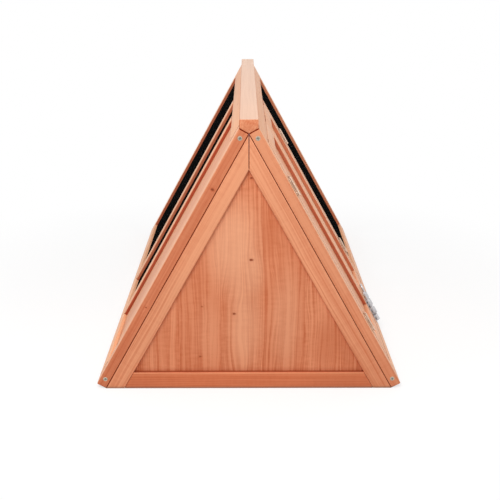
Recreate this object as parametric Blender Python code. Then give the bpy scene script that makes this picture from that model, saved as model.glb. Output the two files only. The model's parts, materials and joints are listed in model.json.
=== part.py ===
"""Small A-frame chicken coop: two leaning side frames, a ridge beam, two end frames,
a solid sleeping end with a pair of framed doors, and wire nets along the run."""

import math

import bmesh
import bpy
from mathutils import Matrix, Vector

# Overall size in metres, and the lean of the side frames
LENGTH = 1.000
BASE_WIDTH = 0.600
SLOPE_ANGLE = math.radians(60.9)

# Timber of the side frames and doors
FRAME_THICKNESS = 0.020
BATTEN_WIDTH = 0.036
DIVISION_WIDTH = 0.045
PANEL_THICKNESS = 0.006
PANEL_RECESS = 0.007
GROOVE_DEPTH = 0.008

# Timber of the end frames and the ridge
END_THICKNESS = 0.020
END_BATTEN_WIDTH = 0.032
END_RAIL_HEIGHT = 0.034
RIDGE_WIDTH = 0.034
RIDGE_SIDE_HEIGHT = 0.016

# Centres of the division stiles and the seam of the doors, from the near end
LEFT_DIVISION_SHARES = (0.297, 0.517)
RIGHT_DIVISION_SHARE = 0.5275
DOOR_SEAM_SHARE = 0.2925

# Fits
CLEARANCE = 0.0003
DOOR_GAP = 0.0015
SEAM_GAP = 0.001
CUT_OVERRUN = 0.002

# Wire nets
WIRE = 0.0012
MESH_PITCH = 0.038

# Butt hinges, lying on the outside of the slope
HINGE_LENGTH = 0.040
HINGE_INSET = 0.095
LEAF_WIDTH = 0.014
LEAF_THICKNESS = 0.0012
KNUCKLE_RADIUS = 0.0026
PIN_RADIUS = 0.0013
PIN_HEAD_RADIUS = 0.0020
PIN_HEAD_HEIGHT = 0.0008
LEAF_SCREW_SPREAD = 0.025

# Barrel bolts, one at the foot of each door
BOLT_PLATE_WIDTH = 0.024
BOLT_PLATE_LENGTH = 0.034
BOLT_PLATE_THICKNESS = 0.0012
BOLT_PLATE_MARGIN = 0.003
BOLT_SCREW_SPREAD = 0.016
BOLT_SCREW_PITCH = 0.0125
ROD_RADIUS = 0.003
ROD_TIP = 0.002
ROD_BEND_RADIUS = 0.005
ROD_HANDLE = 0.005
ROD_TRAVEL = 0.012
STRAP_WALL = 0.0012
STRAP_LENGTH = 0.0145
KEEPER_LENGTH = 0.020
KEEPER_MARGIN = 0.001

# Screws
SCREW_HEAD_RADIUS = 0.0022
SCREW_HEAD_HEIGHT = 0.0009
SCREW_RADIUS = 0.0011
SCREW_LENGTH = 0.010
HEAD_CROWN_SHARE = 0.7
FRAME_SCREW_HEAD_RADIUS = 0.0038
FRAME_SCREW_HEAD_DEPTH = 0.0025
FRAME_SCREW_RADIUS = 0.0019
FRAME_SCREW_LENGTH = 0.055
FRAME_SCREW_TOP_INSET = 0.015

# Steps of the round pieces
SCREW_STEPS = 8
ROUND_STEPS = 12
ARC_STEPS = 8
BEND_STEPS = 5
ROD_ROUNDNESS = 3
SHARP_ANGLE = math.radians(35)

# Derived places on the slope
LEAN_SINE = math.sin(SLOPE_ANGLE)
LEAN_COSINE = math.cos(SLOPE_ANGLE)
LEAN_TANGENT = math.tan(SLOPE_ANGLE)
INNER_FOOT = BASE_WIDTH / 2 - FRAME_THICKNESS * LEAN_SINE
FRAME_HEIGHT = (INNER_FOOT - CLEARANCE / 2) / LEAN_COSINE
TOP_RAIL_FOOT = FRAME_HEIGHT - BATTEN_WIDTH
HALF_LENGTH = LENGTH / 2
AXIS_HEIGHT = KNUCKLE_RADIUS + CLEARANCE
ROD_HEIGHT = BOLT_PLATE_THICKNESS + 3 * CLEARANCE + ROD_RADIUS

# Doors, measured along the coop from the near end
OPENING_START = BATTEN_WIDTH
OPENING_END = RIGHT_DIVISION_SHARE * LENGTH - BATTEN_WIDTH / 2
SEAM = DOOR_SEAM_SHARE * LENGTH
NEAR_AXIS = OPENING_START + DOOR_GAP / 2
MIDDLE_AXIS = OPENING_END - DOOR_GAP / 2
DOOR_FOOT = BATTEN_WIDTH + DOOR_GAP
DOOR_HEAD = TOP_RAIL_FOOT - DOOR_GAP
HINGE_CENTRES = (DOOR_FOOT + HINGE_INSET, DOOR_HEAD - HINGE_INSET)

# Finishes: colour, roughness, metallic
FRAME_WOOD = ((0.72, 0.36, 0.20, 1), 0.6, 0)
PANEL_WOOD = ((0.64, 0.26, 0.13, 1), 0.62, 0)
BLACK_WIRE = ((0.02, 0.02, 0.02, 1), 0.5, 0.6)
ZINC = ((0.62, 0.63, 0.64, 1), 0.35, 1)


def clear_scene():
    for item in list(bpy.data.objects):
        bpy.data.objects.remove(item, do_unlink=True)


def finish(name, look):
    colour, roughness, metallic = look
    material = bpy.data.materials.new(name + "_finish")
    material.use_nodes = True
    shader = material.node_tree.nodes["Principled BSDF"]
    shader.inputs["Base Color"].default_value = colour
    shader.inputs["Roughness"].default_value = roughness
    shader.inputs["Metallic"].default_value = metallic
    return material


def empty(name, matrix, parent=None):
    item = bpy.data.objects.new(name, None)
    bpy.context.collection.objects.link(item)
    item.parent = parent
    item.matrix_local = matrix
    return item


def piece(name, shape, look, parent=None, origin=(0, 0, 0), smooth=False):
    """Object of the mesh being built, drawn in its parent's frame from the given origin."""
    bmesh.ops.translate(shape, verts=shape.verts, vec=-Vector(origin))
    mesh = bpy.data.meshes.new(name)
    shape.to_mesh(mesh)
    shape.free()
    if smooth:
        mesh.shade_smooth()
        mesh.set_sharp_from_angle(angle=SHARP_ANGLE)
    item = bpy.data.objects.new(name, mesh)
    bpy.context.collection.objects.link(item)
    item.parent = parent
    if look:
        mesh.materials.append(finish(name, look))
    return item


def guide(name, shape, parent=None, origin=(0, 0, 0)):
    """Cutter, or a body to be joined: left out of the model itself."""
    item = piece(name, shape, None, parent, origin)
    item.hide_render = True
    item.display_type = 'WIRE'
    return item


def combine(item, other, operation):
    step = item.modifiers.new(operation.lower() + "_" + other.name, 'BOOLEAN')
    step.operation = operation
    step.solver = 'EXACT'
    step.object = other


def cut(items, cutters):
    for item in items:
        for cutter in cutters:
            combine(item, cutter, 'DIFFERENCE')


def add_box(shape, low, high):
    low = Vector(low)
    high = Vector(high)
    matrix = Matrix.Translation((low + high) / 2) @ Matrix.Diagonal(high - low).to_4x4()
    bmesh.ops.create_cube(shape, size=1, matrix=matrix)


def box(low, high):
    shape = bmesh.new()
    add_box(shape, low, high)
    return shape


def add_prism(shape, outline, start, end):
    """Outline in the XZ plane, drawn out along Y."""
    near = [shape.verts.new((x, start, z)) for x, z in outline]
    face = shape.faces.new(near)
    drawn = bmesh.ops.extrude_face_region(shape, geom=[face])
    moved = [part for part in drawn["geom"] if isinstance(part, bmesh.types.BMVert)]
    bmesh.ops.translate(shape, verts=moved, vec=(0, end - start, 0))
    bmesh.ops.recalc_face_normals(shape, faces=shape.faces)


def prism(outline, start, end):
    shape = bmesh.new()
    add_prism(shape, outline, start, end)
    return shape


def add_turned(shape, profile, matrix, steps):
    """Profile of (radius, height) pairs from top to bottom, turned about the matrix's Z."""
    rings = []
    for radius, height in profile:
        if radius == 0:
            rings.append([shape.verts.new(matrix @ Vector((0, 0, height)))])
            continue
        ring = []
        for step in range(steps):
            angle = 2 * math.pi * step / steps
            spot = Vector((radius * math.cos(angle), radius * math.sin(angle), height))
            ring.append(shape.verts.new(matrix @ spot))
        rings.append(ring)
    for upper, lower in zip(rings, rings[1:]):
        for step in range(steps):
            after = (step + 1) % steps
            corners = [upper[step % len(upper)], upper[after % len(upper)]]
            corners += [lower[after % len(lower)], lower[step % len(lower)]]
            shape.faces.new(list(dict.fromkeys(corners)))
    bmesh.ops.recalc_face_normals(shape, faces=shape.faces)


def turned(profile, matrices, steps):
    shape = bmesh.new()
    for matrix in matrices:
        add_turned(shape, profile, matrix, steps)
    return shape


def slope_frame(name, side):
    """Empty at the outer bottom corner: Y up the slope, Z out of it, X along the coop."""
    up = Vector((-side * LEAN_COSINE, 0, LEAN_SINE))
    out = Vector((side * LEAN_SINE, 0, LEAN_COSINE))
    along = up.cross(out)
    turn = Matrix((along, up, out)).transposed().to_4x4()
    corner = Vector((side * BASE_WIDTH / 2, -side * HALF_LENGTH, FRAME_THICKNESS * LEAN_COSINE))
    return empty(name, Matrix.Translation(corner) @ turn)


def left_places(start, end):
    """The left frame is drawn from the far end, so places from the near end are turned round."""
    return LENGTH - end, LENGTH - start


def right_places(start, end):
    return start, end


def batten(name, along, up, frame, origin=(0, 0, 0)):
    shape = box((along[0], up[0], -FRAME_THICKNESS), (along[1], up[1], 0))
    return piece(name, shape, FRAME_WOOD, frame, origin)


def groove(name, along, up, depth, frame, origin=(0, 0, 0)):
    """Cutter for the groove that holds a panel or a net of this thickness."""
    low = (along[0] - GROOVE_DEPTH, up[0] - GROOVE_DEPTH, -PANEL_RECESS - depth - 2 * CLEARANCE)
    high = (along[1] + GROOVE_DEPTH, up[1] + GROOVE_DEPTH, -PANEL_RECESS)
    return guide(name, box(low, high), frame, origin)


def panel(name, along, up, frame, origin=(0, 0, 0)):
    tongue = GROOVE_DEPTH - CLEARANCE
    face = -PANEL_RECESS - CLEARANCE
    low = (along[0] - tongue, up[0] - tongue, face - PANEL_THICKNESS)
    high = (along[1] + tongue, up[1] + tongue, face)
    return piece(name, box(low, high), PANEL_WOOD, frame, origin)


def wire_places(start, end):
    """Middles of the wires between two edges, evenly spaced near the named pitch."""
    steps = max(2, round((end - start) / MESH_PITCH))
    return [start + (end - start) * step / steps for step in range(1, steps)]


def lattice_lines(start, end, places):
    """Edges of every wire, with the two outer ends of the net."""
    lines = [start]
    for place in places:
        lines += [place - WIRE / 2, place + WIRE / 2]
    return lines + [end]


def lattice(x_lines, y_lines, low, high):
    """Welded net as one body: each odd strip between the lines is a wire."""
    shape = bmesh.new()
    corners = {}

    def corner(column, row, height):
        key = (column, row, height)
        if key not in corners:
            corners[key] = shape.verts.new((x_lines[column], y_lines[row], height))
        return corners[key]

    def is_wire(column, row):
        inside = 0 <= column < len(x_lines) - 1 and 0 <= row < len(y_lines) - 1
        return inside and (column % 2 == 1 or row % 2 == 1)

    for column in range(len(x_lines) - 1):
        for row in range(len(y_lines) - 1):
            if not is_wire(column, row):
                continue
            ring = [(column, row), (column + 1, row), (column + 1, row + 1), (column, row + 1)]
            shape.faces.new([corner(*spot, high) for spot in ring])
            shape.faces.new([corner(*spot, low) for spot in reversed(ring)])
            beside = [(column, row - 1), (column + 1, row), (column, row + 1), (column - 1, row)]
            for index, neighbour in enumerate(beside):
                if is_wire(*neighbour):
                    continue
                start = ring[index]
                end = ring[(index + 1) % len(ring)]
                wall = [corner(*start, low), corner(*end, low), corner(*end, high), corner(*start, high)]
                shape.faces.new(wall)
    return shape


def net(name, along, up, frame):
    """Flat welded net whose wire ends lie in the grooves round the bay."""
    tongue = GROOVE_DEPTH - CLEARANCE
    high = -PANEL_RECESS - CLEARANCE
    x_lines = lattice_lines(along[0] - tongue, along[1] + tongue, wire_places(*along))
    y_lines = lattice_lines(up[0] - tongue, up[1] + tongue, wire_places(*up))
    return piece(name, lattice(x_lines, y_lines, high - WIRE, high), BLACK_WIRE, frame)


def frame_screws(side_name, frame, places, battens):
    """Countersunk screws through the end stiles into the ends of the rails."""
    waist = -FRAME_SCREW_HEAD_DEPTH
    tip = -FRAME_SCREW_LENGTH
    profile = [(0, 0), (FRAME_SCREW_HEAD_RADIUS, 0), (FRAME_SCREW_RADIUS, waist)]
    profile += [(FRAME_SCREW_RADIUS, tip), (0, tip - FRAME_SCREW_RADIUS)]
    flare = FRAME_SCREW_HEAD_RADIUS + CLEARANCE
    bore = FRAME_SCREW_RADIUS + CLEARANCE
    hole = [(0, CUT_OVERRUN), (flare, CUT_OVERRUN), (flare, -CLEARANCE), (bore, waist - CLEARANCE)]
    hole += [(bore, tip - CLEARANCE), (0, tip - FRAME_SCREW_RADIUS - 2 * CLEARANCE)]
    heights = {"bottom": BATTEN_WIDTH / 2, "top": FRAME_HEIGHT - FRAME_SCREW_TOP_INSET}
    spots = []
    for end, place in (("near", 0), ("far", LENGTH)):
        x = places(place, place)[0]
        outwards = Matrix.Rotation(math.copysign(math.pi / 2, x - LENGTH / 2), 4, 'Y')
        for level, up in heights.items():
            spot = Matrix.Translation((x, up, -FRAME_THICKNESS / 2)) @ outwards
            spots.append(spot)
            name = side_name + "_" + end + "_" + level + "_screw"
            piece(name, turned(profile, [spot], SCREW_STEPS), ZINC, frame, smooth=True)
    cutter = guide(side_name + "_frame_screw_holes", turned(hole, spots, SCREW_STEPS), frame)
    cut(battens, [cutter])


def surface_screws(name, spots, plate, frame, origin):
    """Round-headed screws through a plate of this thickness that lies on the slope."""
    rim = CLEARANCE + plate / 2
    top = CLEARANCE + plate + SCREW_HEAD_HEIGHT
    tip = top - SCREW_LENGTH
    profile = [(0, top), (SCREW_HEAD_RADIUS * HEAD_CROWN_SHARE, top), (SCREW_HEAD_RADIUS, rim)]
    profile += [(SCREW_RADIUS, rim), (SCREW_RADIUS, tip), (0, tip - SCREW_RADIUS)]
    places = [Matrix.Translation((x, y, 0)) for x, y in spots]
    return guide(name, turned(profile, places, SCREW_STEPS), frame, origin)


def surface_holes(name, spots, frame, origin):
    """Pilot holes in the wood below those screws."""
    bore = SCREW_RADIUS + CLEARANCE
    tip = -SCREW_LENGTH
    hole = [(0, CUT_OVERRUN), (bore, CUT_OVERRUN), (bore, tip), (0, tip - bore)]
    places = [Matrix.Translation((x, y, 0)) for x, y in spots]
    return guide(name, turned(hole, places, SCREW_STEPS), frame, origin)


def build_side(side_name, frame, places, divisions, division_width, bays):
    """Stiles, rails, division stiles, and what fills each bay of one leaning side."""
    full = (0, FRAME_HEIGHT)
    clear = (BATTEN_WIDTH + CLEARANCE, TOP_RAIL_FOOT - CLEARANCE)
    between = places(BATTEN_WIDTH + CLEARANCE, LENGTH - BATTEN_WIDTH - CLEARANCE)
    near = batten(side_name + "_near_stile", places(0, BATTEN_WIDTH), full, frame)
    far = batten(side_name + "_far_stile", places(LENGTH - BATTEN_WIDTH, LENGTH), full, frame)
    top = batten(side_name + "_top_rail", between, (TOP_RAIL_FOOT, FRAME_HEIGHT), frame)
    bottom = batten(side_name + "_bottom_rail", between, (0, BATTEN_WIDTH), frame)
    stiles = [near]
    edges = [(0, BATTEN_WIDTH)]
    for name, centre in divisions:
        edge = (centre - division_width / 2, centre + division_width / 2)
        stiles.append(batten(side_name + "_" + name, places(*edge), clear, frame))
        edges.append(edge)
    stiles.append(far)
    edges.append((LENGTH - BATTEN_WIDTH, LENGTH))
    opening = (BATTEN_WIDTH, TOP_RAIL_FOOT)
    for index, (kind, name) in enumerate(bays):
        if kind == 'door':
            continue
        along = places(edges[index][1], edges[index + 1][0])
        label = side_name + "_" + name
        if kind == 'panel':
            panel(label, along, opening, frame)
            depth = PANEL_THICKNESS
        else:
            net(label, along, opening, frame)
            depth = WIRE
        cutter = groove(label + "_groove", along, opening, depth, frame)
        cut([stiles[index], stiles[index + 1], top, bottom], [cutter])
    frame_screws(side_name, frame, places, [near, far, top, bottom])
    return {"near": near, "far": far, "top": top, "bottom": bottom, "stiles": stiles}


def knuckle_outline(direction):
    """Round of the knuckle with a tail that joins the flat of the leaf."""
    shoulder = -KNUCKLE_RADIUS + LEAF_THICKNESS
    start = math.asin(shoulder / KNUCKLE_RADIUS)
    sweep = 3 * math.pi / 2 - start
    tail = KNUCKLE_RADIUS + CLEARANCE + LEAF_THICKNESS
    outline = [(tail, -KNUCKLE_RADIUS), (tail, shoulder)]
    for step in range(ARC_STEPS + 1):
        angle = start + sweep * step / ARC_STEPS
        outline.append((KNUCKLE_RADIUS * math.cos(angle), KNUCKLE_RADIUS * math.sin(angle)))
    return [(direction * x, z) for x, z in outline]


def leaf(name, axis, direction, centre, outer, frame, origin):
    """Leaf on one side of the axis, with the outer two knuckles or the middle one."""
    edge = direction * (KNUCKLE_RADIUS + CLEARANCE)
    tip = direction * LEAF_WIDTH
    foot = centre - HINGE_LENGTH / 2
    head = centre + HINGE_LENGTH / 2
    low = (axis + min(edge, tip), foot, CLEARANCE)
    high = (axis + max(edge, tip), head, CLEARANCE + LEAF_THICKNESS)
    item = piece(name, box(low, high), ZINC, frame, origin)
    third = HINGE_LENGTH / 3
    spans = [(foot, foot + third), (head - third, head)]
    if not outer:
        spans = [(foot + third + CLEARANCE, head - third - CLEARANCE)]
    outline = [(axis + x, AXIS_HEIGHT + z) for x, z in knuckle_outline(direction)]
    rounds = bmesh.new()
    for start, end in spans:
        add_prism(rounds, outline, start, end)
    combine(item, guide(name + "_knuckles", rounds, frame, origin), 'UNION')
    bore = PIN_RADIUS + CLEARANCE
    reach = HINGE_LENGTH / 2 + CUT_OVERRUN
    hole = [(0, reach), (bore, reach), (bore, -reach), (0, -reach)]
    shape = turned(hole, [pin_place(axis, centre)], ROUND_STEPS)
    cut([item], [guide(name + "_bore", shape, frame, origin)])
    spots = leaf_spots(axis, direction, centre)
    screws = surface_screws(name + "_screws", spots, LEAF_THICKNESS, frame, origin)
    combine(item, screws, 'UNION')
    return surface_holes(name + "_holes", spots, frame, origin)


def pin_place(axis, centre):
    turn = Matrix.Rotation(-math.pi / 2, 4, 'X')
    return Matrix.Translation((axis, centre, AXIS_HEIGHT)) @ turn


def hinge_pin(name, axis, centre, frame):
    """Pin with a small head at each end, just clear of the outer knuckles."""
    reach = HINGE_LENGTH / 2 + CLEARANCE
    end = reach + PIN_HEAD_HEIGHT
    profile = [(0, end), (PIN_HEAD_RADIUS, end), (PIN_HEAD_RADIUS, reach), (PIN_RADIUS, reach)]
    profile += [(PIN_RADIUS, -reach), (PIN_HEAD_RADIUS, -reach), (PIN_HEAD_RADIUS, -end), (0, -end)]
    shape = turned(profile, [pin_place(axis, centre)], ROUND_STEPS)
    return piece(name, shape, ZINC, frame, smooth=True)


def leaf_spots(axis, direction, centre):
    across = axis + direction * (KNUCKLE_RADIUS + LEAF_WIDTH) / 2
    half = LEAF_SCREW_SPREAD / 2
    return [(across, centre - half), (across, centre + half)]


def strapped_plate(name, centre, span, rows, straps, frame, origin):
    """Flat plate with pressed straps that the rod slides through, and rows of two screws."""
    half = BOLT_PLATE_WIDTH / 2
    top = CLEARANCE + BOLT_PLATE_THICKNESS
    flat = box((centre - half, span[0], CLEARANCE), (centre + half, span[1], top))
    reach = ROD_RADIUS + CLEARANCE + STRAP_WALL
    outline = []
    for step in range(ARC_STEPS + 1):
        angle = math.pi * step / ARC_STEPS
        outline.append((centre + reach * math.cos(angle), ROD_HEIGHT + reach * math.sin(angle)))
    foot = top - BOLT_PLATE_THICKNESS / 2
    outline += [(centre - reach, foot), (centre + reach, foot)]
    rounds = bmesh.new()
    for start, end in straps:
        add_prism(rounds, outline, start, end)
    item = piece(name, flat, ZINC, frame, origin)
    combine(item, guide(name + "_straps", rounds, frame, origin), 'UNION')
    bore = ROD_RADIUS + CLEARANCE
    low = span[0] - CUT_OVERRUN
    high = span[1] + CUT_OVERRUN
    turn = Matrix.Translation((centre, 0, ROD_HEIGHT)) @ Matrix.Rotation(-math.pi / 2, 4, 'X')
    channel = turned([(0, high), (bore, high), (bore, low), (0, low)], [turn], ROUND_STEPS)
    cut([item], [guide(name + "_channel", channel, frame, origin)])
    half_spread = BOLT_SCREW_SPREAD / 2
    spots = [(centre + side * half_spread, row) for side in (-1, 1) for row in rows]
    screws = surface_screws(name + "_screws", spots, BOLT_PLATE_THICKNESS, frame, origin)
    combine(item, screws, 'UNION')
    return surface_holes(name + "_holes", spots, frame, origin)


def bent_rod(name, centre, foot, handle, direction, frame, origin):
    """Round rod up the slope whose top end is bent flat to one side as the handle."""
    path = [(0, foot), (0, handle - ROD_BEND_RADIUS)]
    for step in range(1, BEND_STEPS + 1):
        angle = math.pi / 2 * step / BEND_STEPS
        across = ROD_BEND_RADIUS * (1 - math.cos(angle))
        path.append((across, handle - ROD_BEND_RADIUS + ROD_BEND_RADIUS * math.sin(angle)))
    path.append((ROD_BEND_RADIUS + ROD_HANDLE, handle))
    curve = bpy.data.curves.new(name, 'CURVE')
    curve.dimensions = '3D'
    curve.bevel_depth = ROD_RADIUS
    curve.bevel_resolution = ROD_ROUNDNESS
    curve.use_fill_caps = True
    spline = curve.splines.new('POLY')
    spline.points.add(len(path) - 1)
    for point, (across, up) in zip(spline.points, path):
        spot = Vector((centre + direction * across, up, ROD_HEIGHT)) - Vector(origin)
        point.co = (*spot, 1)
    spline.use_smooth = True
    curve.materials.append(finish(name, ZINC))
    item = bpy.data.objects.new(name, curve)
    bpy.context.collection.objects.link(item)
    item.parent = frame
    return item


def build_door(name, axis, direction, reach, frame, fixed):
    """Framed door with a solid panel, its hinges and its barrel bolt.

    The axis lies along the slope beside the frame stile; direction points from the axis
    to the lock stile, and reach is the distance from the axis to the lock edge.
    """
    origin = (axis, 0, AXIS_HEIGHT)
    pivot = empty(name + "_axis", Matrix.Translation(origin), frame)
    hinge_edge = axis + direction * DOOR_GAP / 2
    lock_edge = axis + direction * reach
    inner_hinge = hinge_edge + direction * BATTEN_WIDTH
    inner_lock = lock_edge - direction * BATTEN_WIDTH
    height = (DOOR_FOOT, DOOR_HEAD)
    hinge_span = sorted((hinge_edge, inner_hinge))
    lock_span = sorted((lock_edge, inner_lock))
    gap = direction * CLEARANCE
    rail_span = sorted((inner_hinge + gap, inner_lock - gap))
    foot_span = (DOOR_FOOT, DOOR_FOOT + BATTEN_WIDTH)
    head_span = (DOOR_HEAD - BATTEN_WIDTH, DOOR_HEAD)
    hinge_stile = batten(name + "_hinge_stile", hinge_span, height, pivot, origin)
    lock_stile = batten(name + "_lock_stile", lock_span, height, pivot, origin)
    foot_rail = batten(name + "_bottom_rail", rail_span, foot_span, pivot, origin)
    head_rail = batten(name + "_top_rail", rail_span, head_span, pivot, origin)
    along = sorted((inner_hinge, inner_lock))
    up = (foot_span[1], head_span[0])
    panel(name + "_panel", along, up, pivot, origin)
    slot = groove(name + "_groove", along, up, PANEL_THICKNESS, pivot, origin)
    cut([hinge_stile, lock_stile, foot_rail, head_rail], [slot])

    world = (0, 0, 0)
    for level, middle in zip(("lower", "upper"), HINGE_CENTRES):
        hinge = name + "_" + level + "_hinge"
        fixed_holes = leaf(hinge + "_frame_leaf", axis, -direction, middle, True, frame, world)
        moving_holes = leaf(hinge + "_door_leaf", axis, direction, middle, False, pivot, origin)
        hinge_pin(hinge + "_pin", axis, middle, frame)
        cut([fixed["stile"]], [fixed_holes])
        cut([hinge_stile], [moving_holes])

    centre = (lock_edge + inner_lock) / 2
    plate_foot = DOOR_FOOT + BOLT_PLATE_MARGIN
    plate_head = plate_foot + BOLT_PLATE_LENGTH
    middle = (plate_foot + plate_head) / 2
    straps = [(plate_foot, plate_foot + STRAP_LENGTH), (plate_head - STRAP_LENGTH, plate_head)]
    rows = [middle + step * BOLT_SCREW_PITCH for step in (-1, 0, 1)]
    span = (plate_foot, plate_head)
    plate_holes = strapped_plate(name + "_bolt_plate", centre, span, rows, straps, pivot, origin)
    cut([lock_stile], [plate_holes])
    handle = plate_head + ROD_TRAVEL + ROD_BEND_RADIUS + CLEARANCE
    rod_foot = plate_foot - ROD_TIP
    bent_rod(name + "_bolt_rod", centre, rod_foot, handle, -direction, pivot, origin)

    keeper_head = BATTEN_WIDTH - KEEPER_MARGIN
    keeper_span = (keeper_head - KEEPER_LENGTH, keeper_head)
    middle = sum(keeper_span) / 2
    strap = (middle - STRAP_LENGTH / 2, middle + STRAP_LENGTH / 2)
    name = name + "_keeper"
    keeper_holes = strapped_plate(name, centre, keeper_span, [middle], [strap], frame, world)
    cut([fixed["bottom"]], [keeper_holes])


def end_outlines():
    """Outlines, in the plane across the coop, of the pieces of an end frame."""
    outer_foot = INNER_FOOT - CLEARANCE / LEAN_SINE
    inner_foot = outer_foot - END_BATTEN_WIDTH / LEAN_SINE
    rail_foot = inner_foot - CLEARANCE / LEAN_SINE
    mitre = CLEARANCE / 2
    stile = [(outer_foot, 0), (mitre, (outer_foot - mitre) * LEAN_TANGENT)]
    stile += [(mitre, (inner_foot - mitre) * LEAN_TANGENT), (inner_foot, 0)]
    rail_head = rail_foot - END_RAIL_HEIGHT / LEAN_TANGENT
    rail = [(rail_foot, 0), (rail_head, END_RAIL_HEIGHT)]
    rail += [(-rail_head, END_RAIL_HEIGHT), (-rail_foot, 0)]
    return stile, rail, inner_foot


def filling_outline(inner_foot, growth):
    """Triangle inside the stiles and above the rail, grown into their grooves."""
    foot = END_RAIL_HEIGHT - growth
    wide = inner_foot + growth / LEAN_SINE
    half = wide - foot / LEAN_TANGENT
    return [(half, foot), (0, wide * LEAN_TANGENT), (-half, foot)]


def triangle_net(name, outline, span):
    """Net of the open end: a welded lattice trimmed to the groove's triangle."""
    half, foot = outline[0]
    peak = outline[1][1]
    wide = half + CUT_OVERRUN
    x_lines = lattice_lines(-wide, wide, wire_places(-half, half))
    z_lines = lattice_lines(foot - CUT_OVERRUN, peak + CUT_OVERRUN, wire_places(foot, peak))
    shape = lattice(x_lines, z_lines, -span[1], -span[0])
    bmesh.ops.rotate(shape, verts=shape.verts, matrix=Matrix.Rotation(math.pi / 2, 3, 'X'))
    item = piece(name, shape, BLACK_WIRE)
    low = span[0] - CUT_OVERRUN
    high = span[1] + CUT_OVERRUN
    combine(item, guide(name + "_outline", prism(outline, low, high)), 'INTERSECT')


def build_end(end_name, sign, solid):
    """Triangular end frame; sign is -1 at the near end and 1 at the far end."""
    face = sign * HALF_LENGTH
    back = face - sign * END_THICKNESS
    span = sorted((face, back))
    stile, rail, inner_foot = end_outlines()
    mirrored = [(-x, z) for x, z in stile]
    right = piece(end_name + "_right_stile", prism(stile, *span), FRAME_WOOD)
    left = piece(end_name + "_left_stile", prism(mirrored, *span), FRAME_WOOD)
    bottom = piece(end_name + "_bottom_rail", prism(rail, *span), FRAME_WOOD)
    thickness = PANEL_THICKNESS if solid else WIRE
    slot_face = face - sign * PANEL_RECESS
    slot_back = slot_face - sign * (thickness + 2 * CLEARANCE)
    slot_span = sorted((slot_face, slot_back))
    slot = guide(end_name + "_groove", prism(filling_outline(inner_foot, GROOVE_DEPTH), *slot_span))
    cut([right, left, bottom], [slot])
    fitted = filling_outline(inner_foot, GROOVE_DEPTH - CLEARANCE)
    filling_face = slot_face - sign * CLEARANCE
    filling_span = sorted((filling_face, filling_face - sign * thickness))
    if solid:
        piece(end_name + "_panel", prism(fitted, *filling_span), PANEL_WOOD)
    else:
        triangle_net(end_name + "_net", fitted, filling_span)


def build_ridge():
    """Beam with a V underside that seats on the top ends of both side frames."""
    reach = FRAME_HEIGHT + CLEARANCE
    seat_x = BASE_WIDTH / 2 - reach * LEAN_COSINE
    seat_z = FRAME_THICKNESS * LEAN_COSINE + reach * LEAN_SINE
    keel = seat_z - seat_x / LEAN_TANGENT
    half = RIDGE_WIDTH / 2
    shoulder = keel + half / LEAN_TANGENT
    head = shoulder + RIDGE_SIDE_HEIGHT
    outline = [(0, keel), (half, shoulder), (half, head), (-half, head), (-half, shoulder)]
    piece("ridge_beam", prism(outline, -HALF_LENGTH, HALF_LENGTH), FRAME_WOOD)


def door_reach(axis):
    """Width that lets the inner corner of the lock stile swing past the seam."""
    distance = abs(SEAM - axis) - SEAM_GAP / 2
    return math.sqrt(distance ** 2 - (FRAME_THICKNESS + AXIS_HEIGHT) ** 2)


def main():
    clear_scene()
    left_frame = slope_frame("left_slope", -1)
    right_frame = slope_frame("right_slope", 1)
    near_share, far_share = LEFT_DIVISION_SHARES
    left_divisions = [("near_division", near_share * LENGTH), ("far_division", far_share * LENGTH)]
    left_bays = [('panel', "near_panel"), ('net', "middle_net"), ('net', "far_net")]
    build_side("left", left_frame, left_places, left_divisions, DIVISION_WIDTH, left_bays)
    right_divisions = [("division", RIGHT_DIVISION_SHARE * LENGTH)]
    right_bays = [('door', "doors"), ('net', "far_net")]
    right = build_side("right", right_frame, right_places, right_divisions, BATTEN_WIDTH, right_bays)
    near_fixed = {"stile": right["near"], "bottom": right["bottom"]}
    middle_fixed = {"stile": right["stiles"][1], "bottom": right["bottom"]}
    build_door("near_door", NEAR_AXIS, 1, door_reach(NEAR_AXIS), right_frame, near_fixed)
    build_door("middle_door", MIDDLE_AXIS, -1, door_reach(MIDDLE_AXIS), right_frame, middle_fixed)
    build_end("near_end", -1, True)
    build_end("far_end", 1, False)
    build_ridge()


main()
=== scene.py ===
"""Timber, wire and fittings of a small A-frame chicken coop, dressed on its frame for a studio picture."""

import json
import math
from contextlib import contextmanager

import bmesh
import bpy
from mathutils import Matrix, Vector
from mathutils.bvhtree import BVHTree
from mathutils.geometry import intersect_point_line

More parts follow.
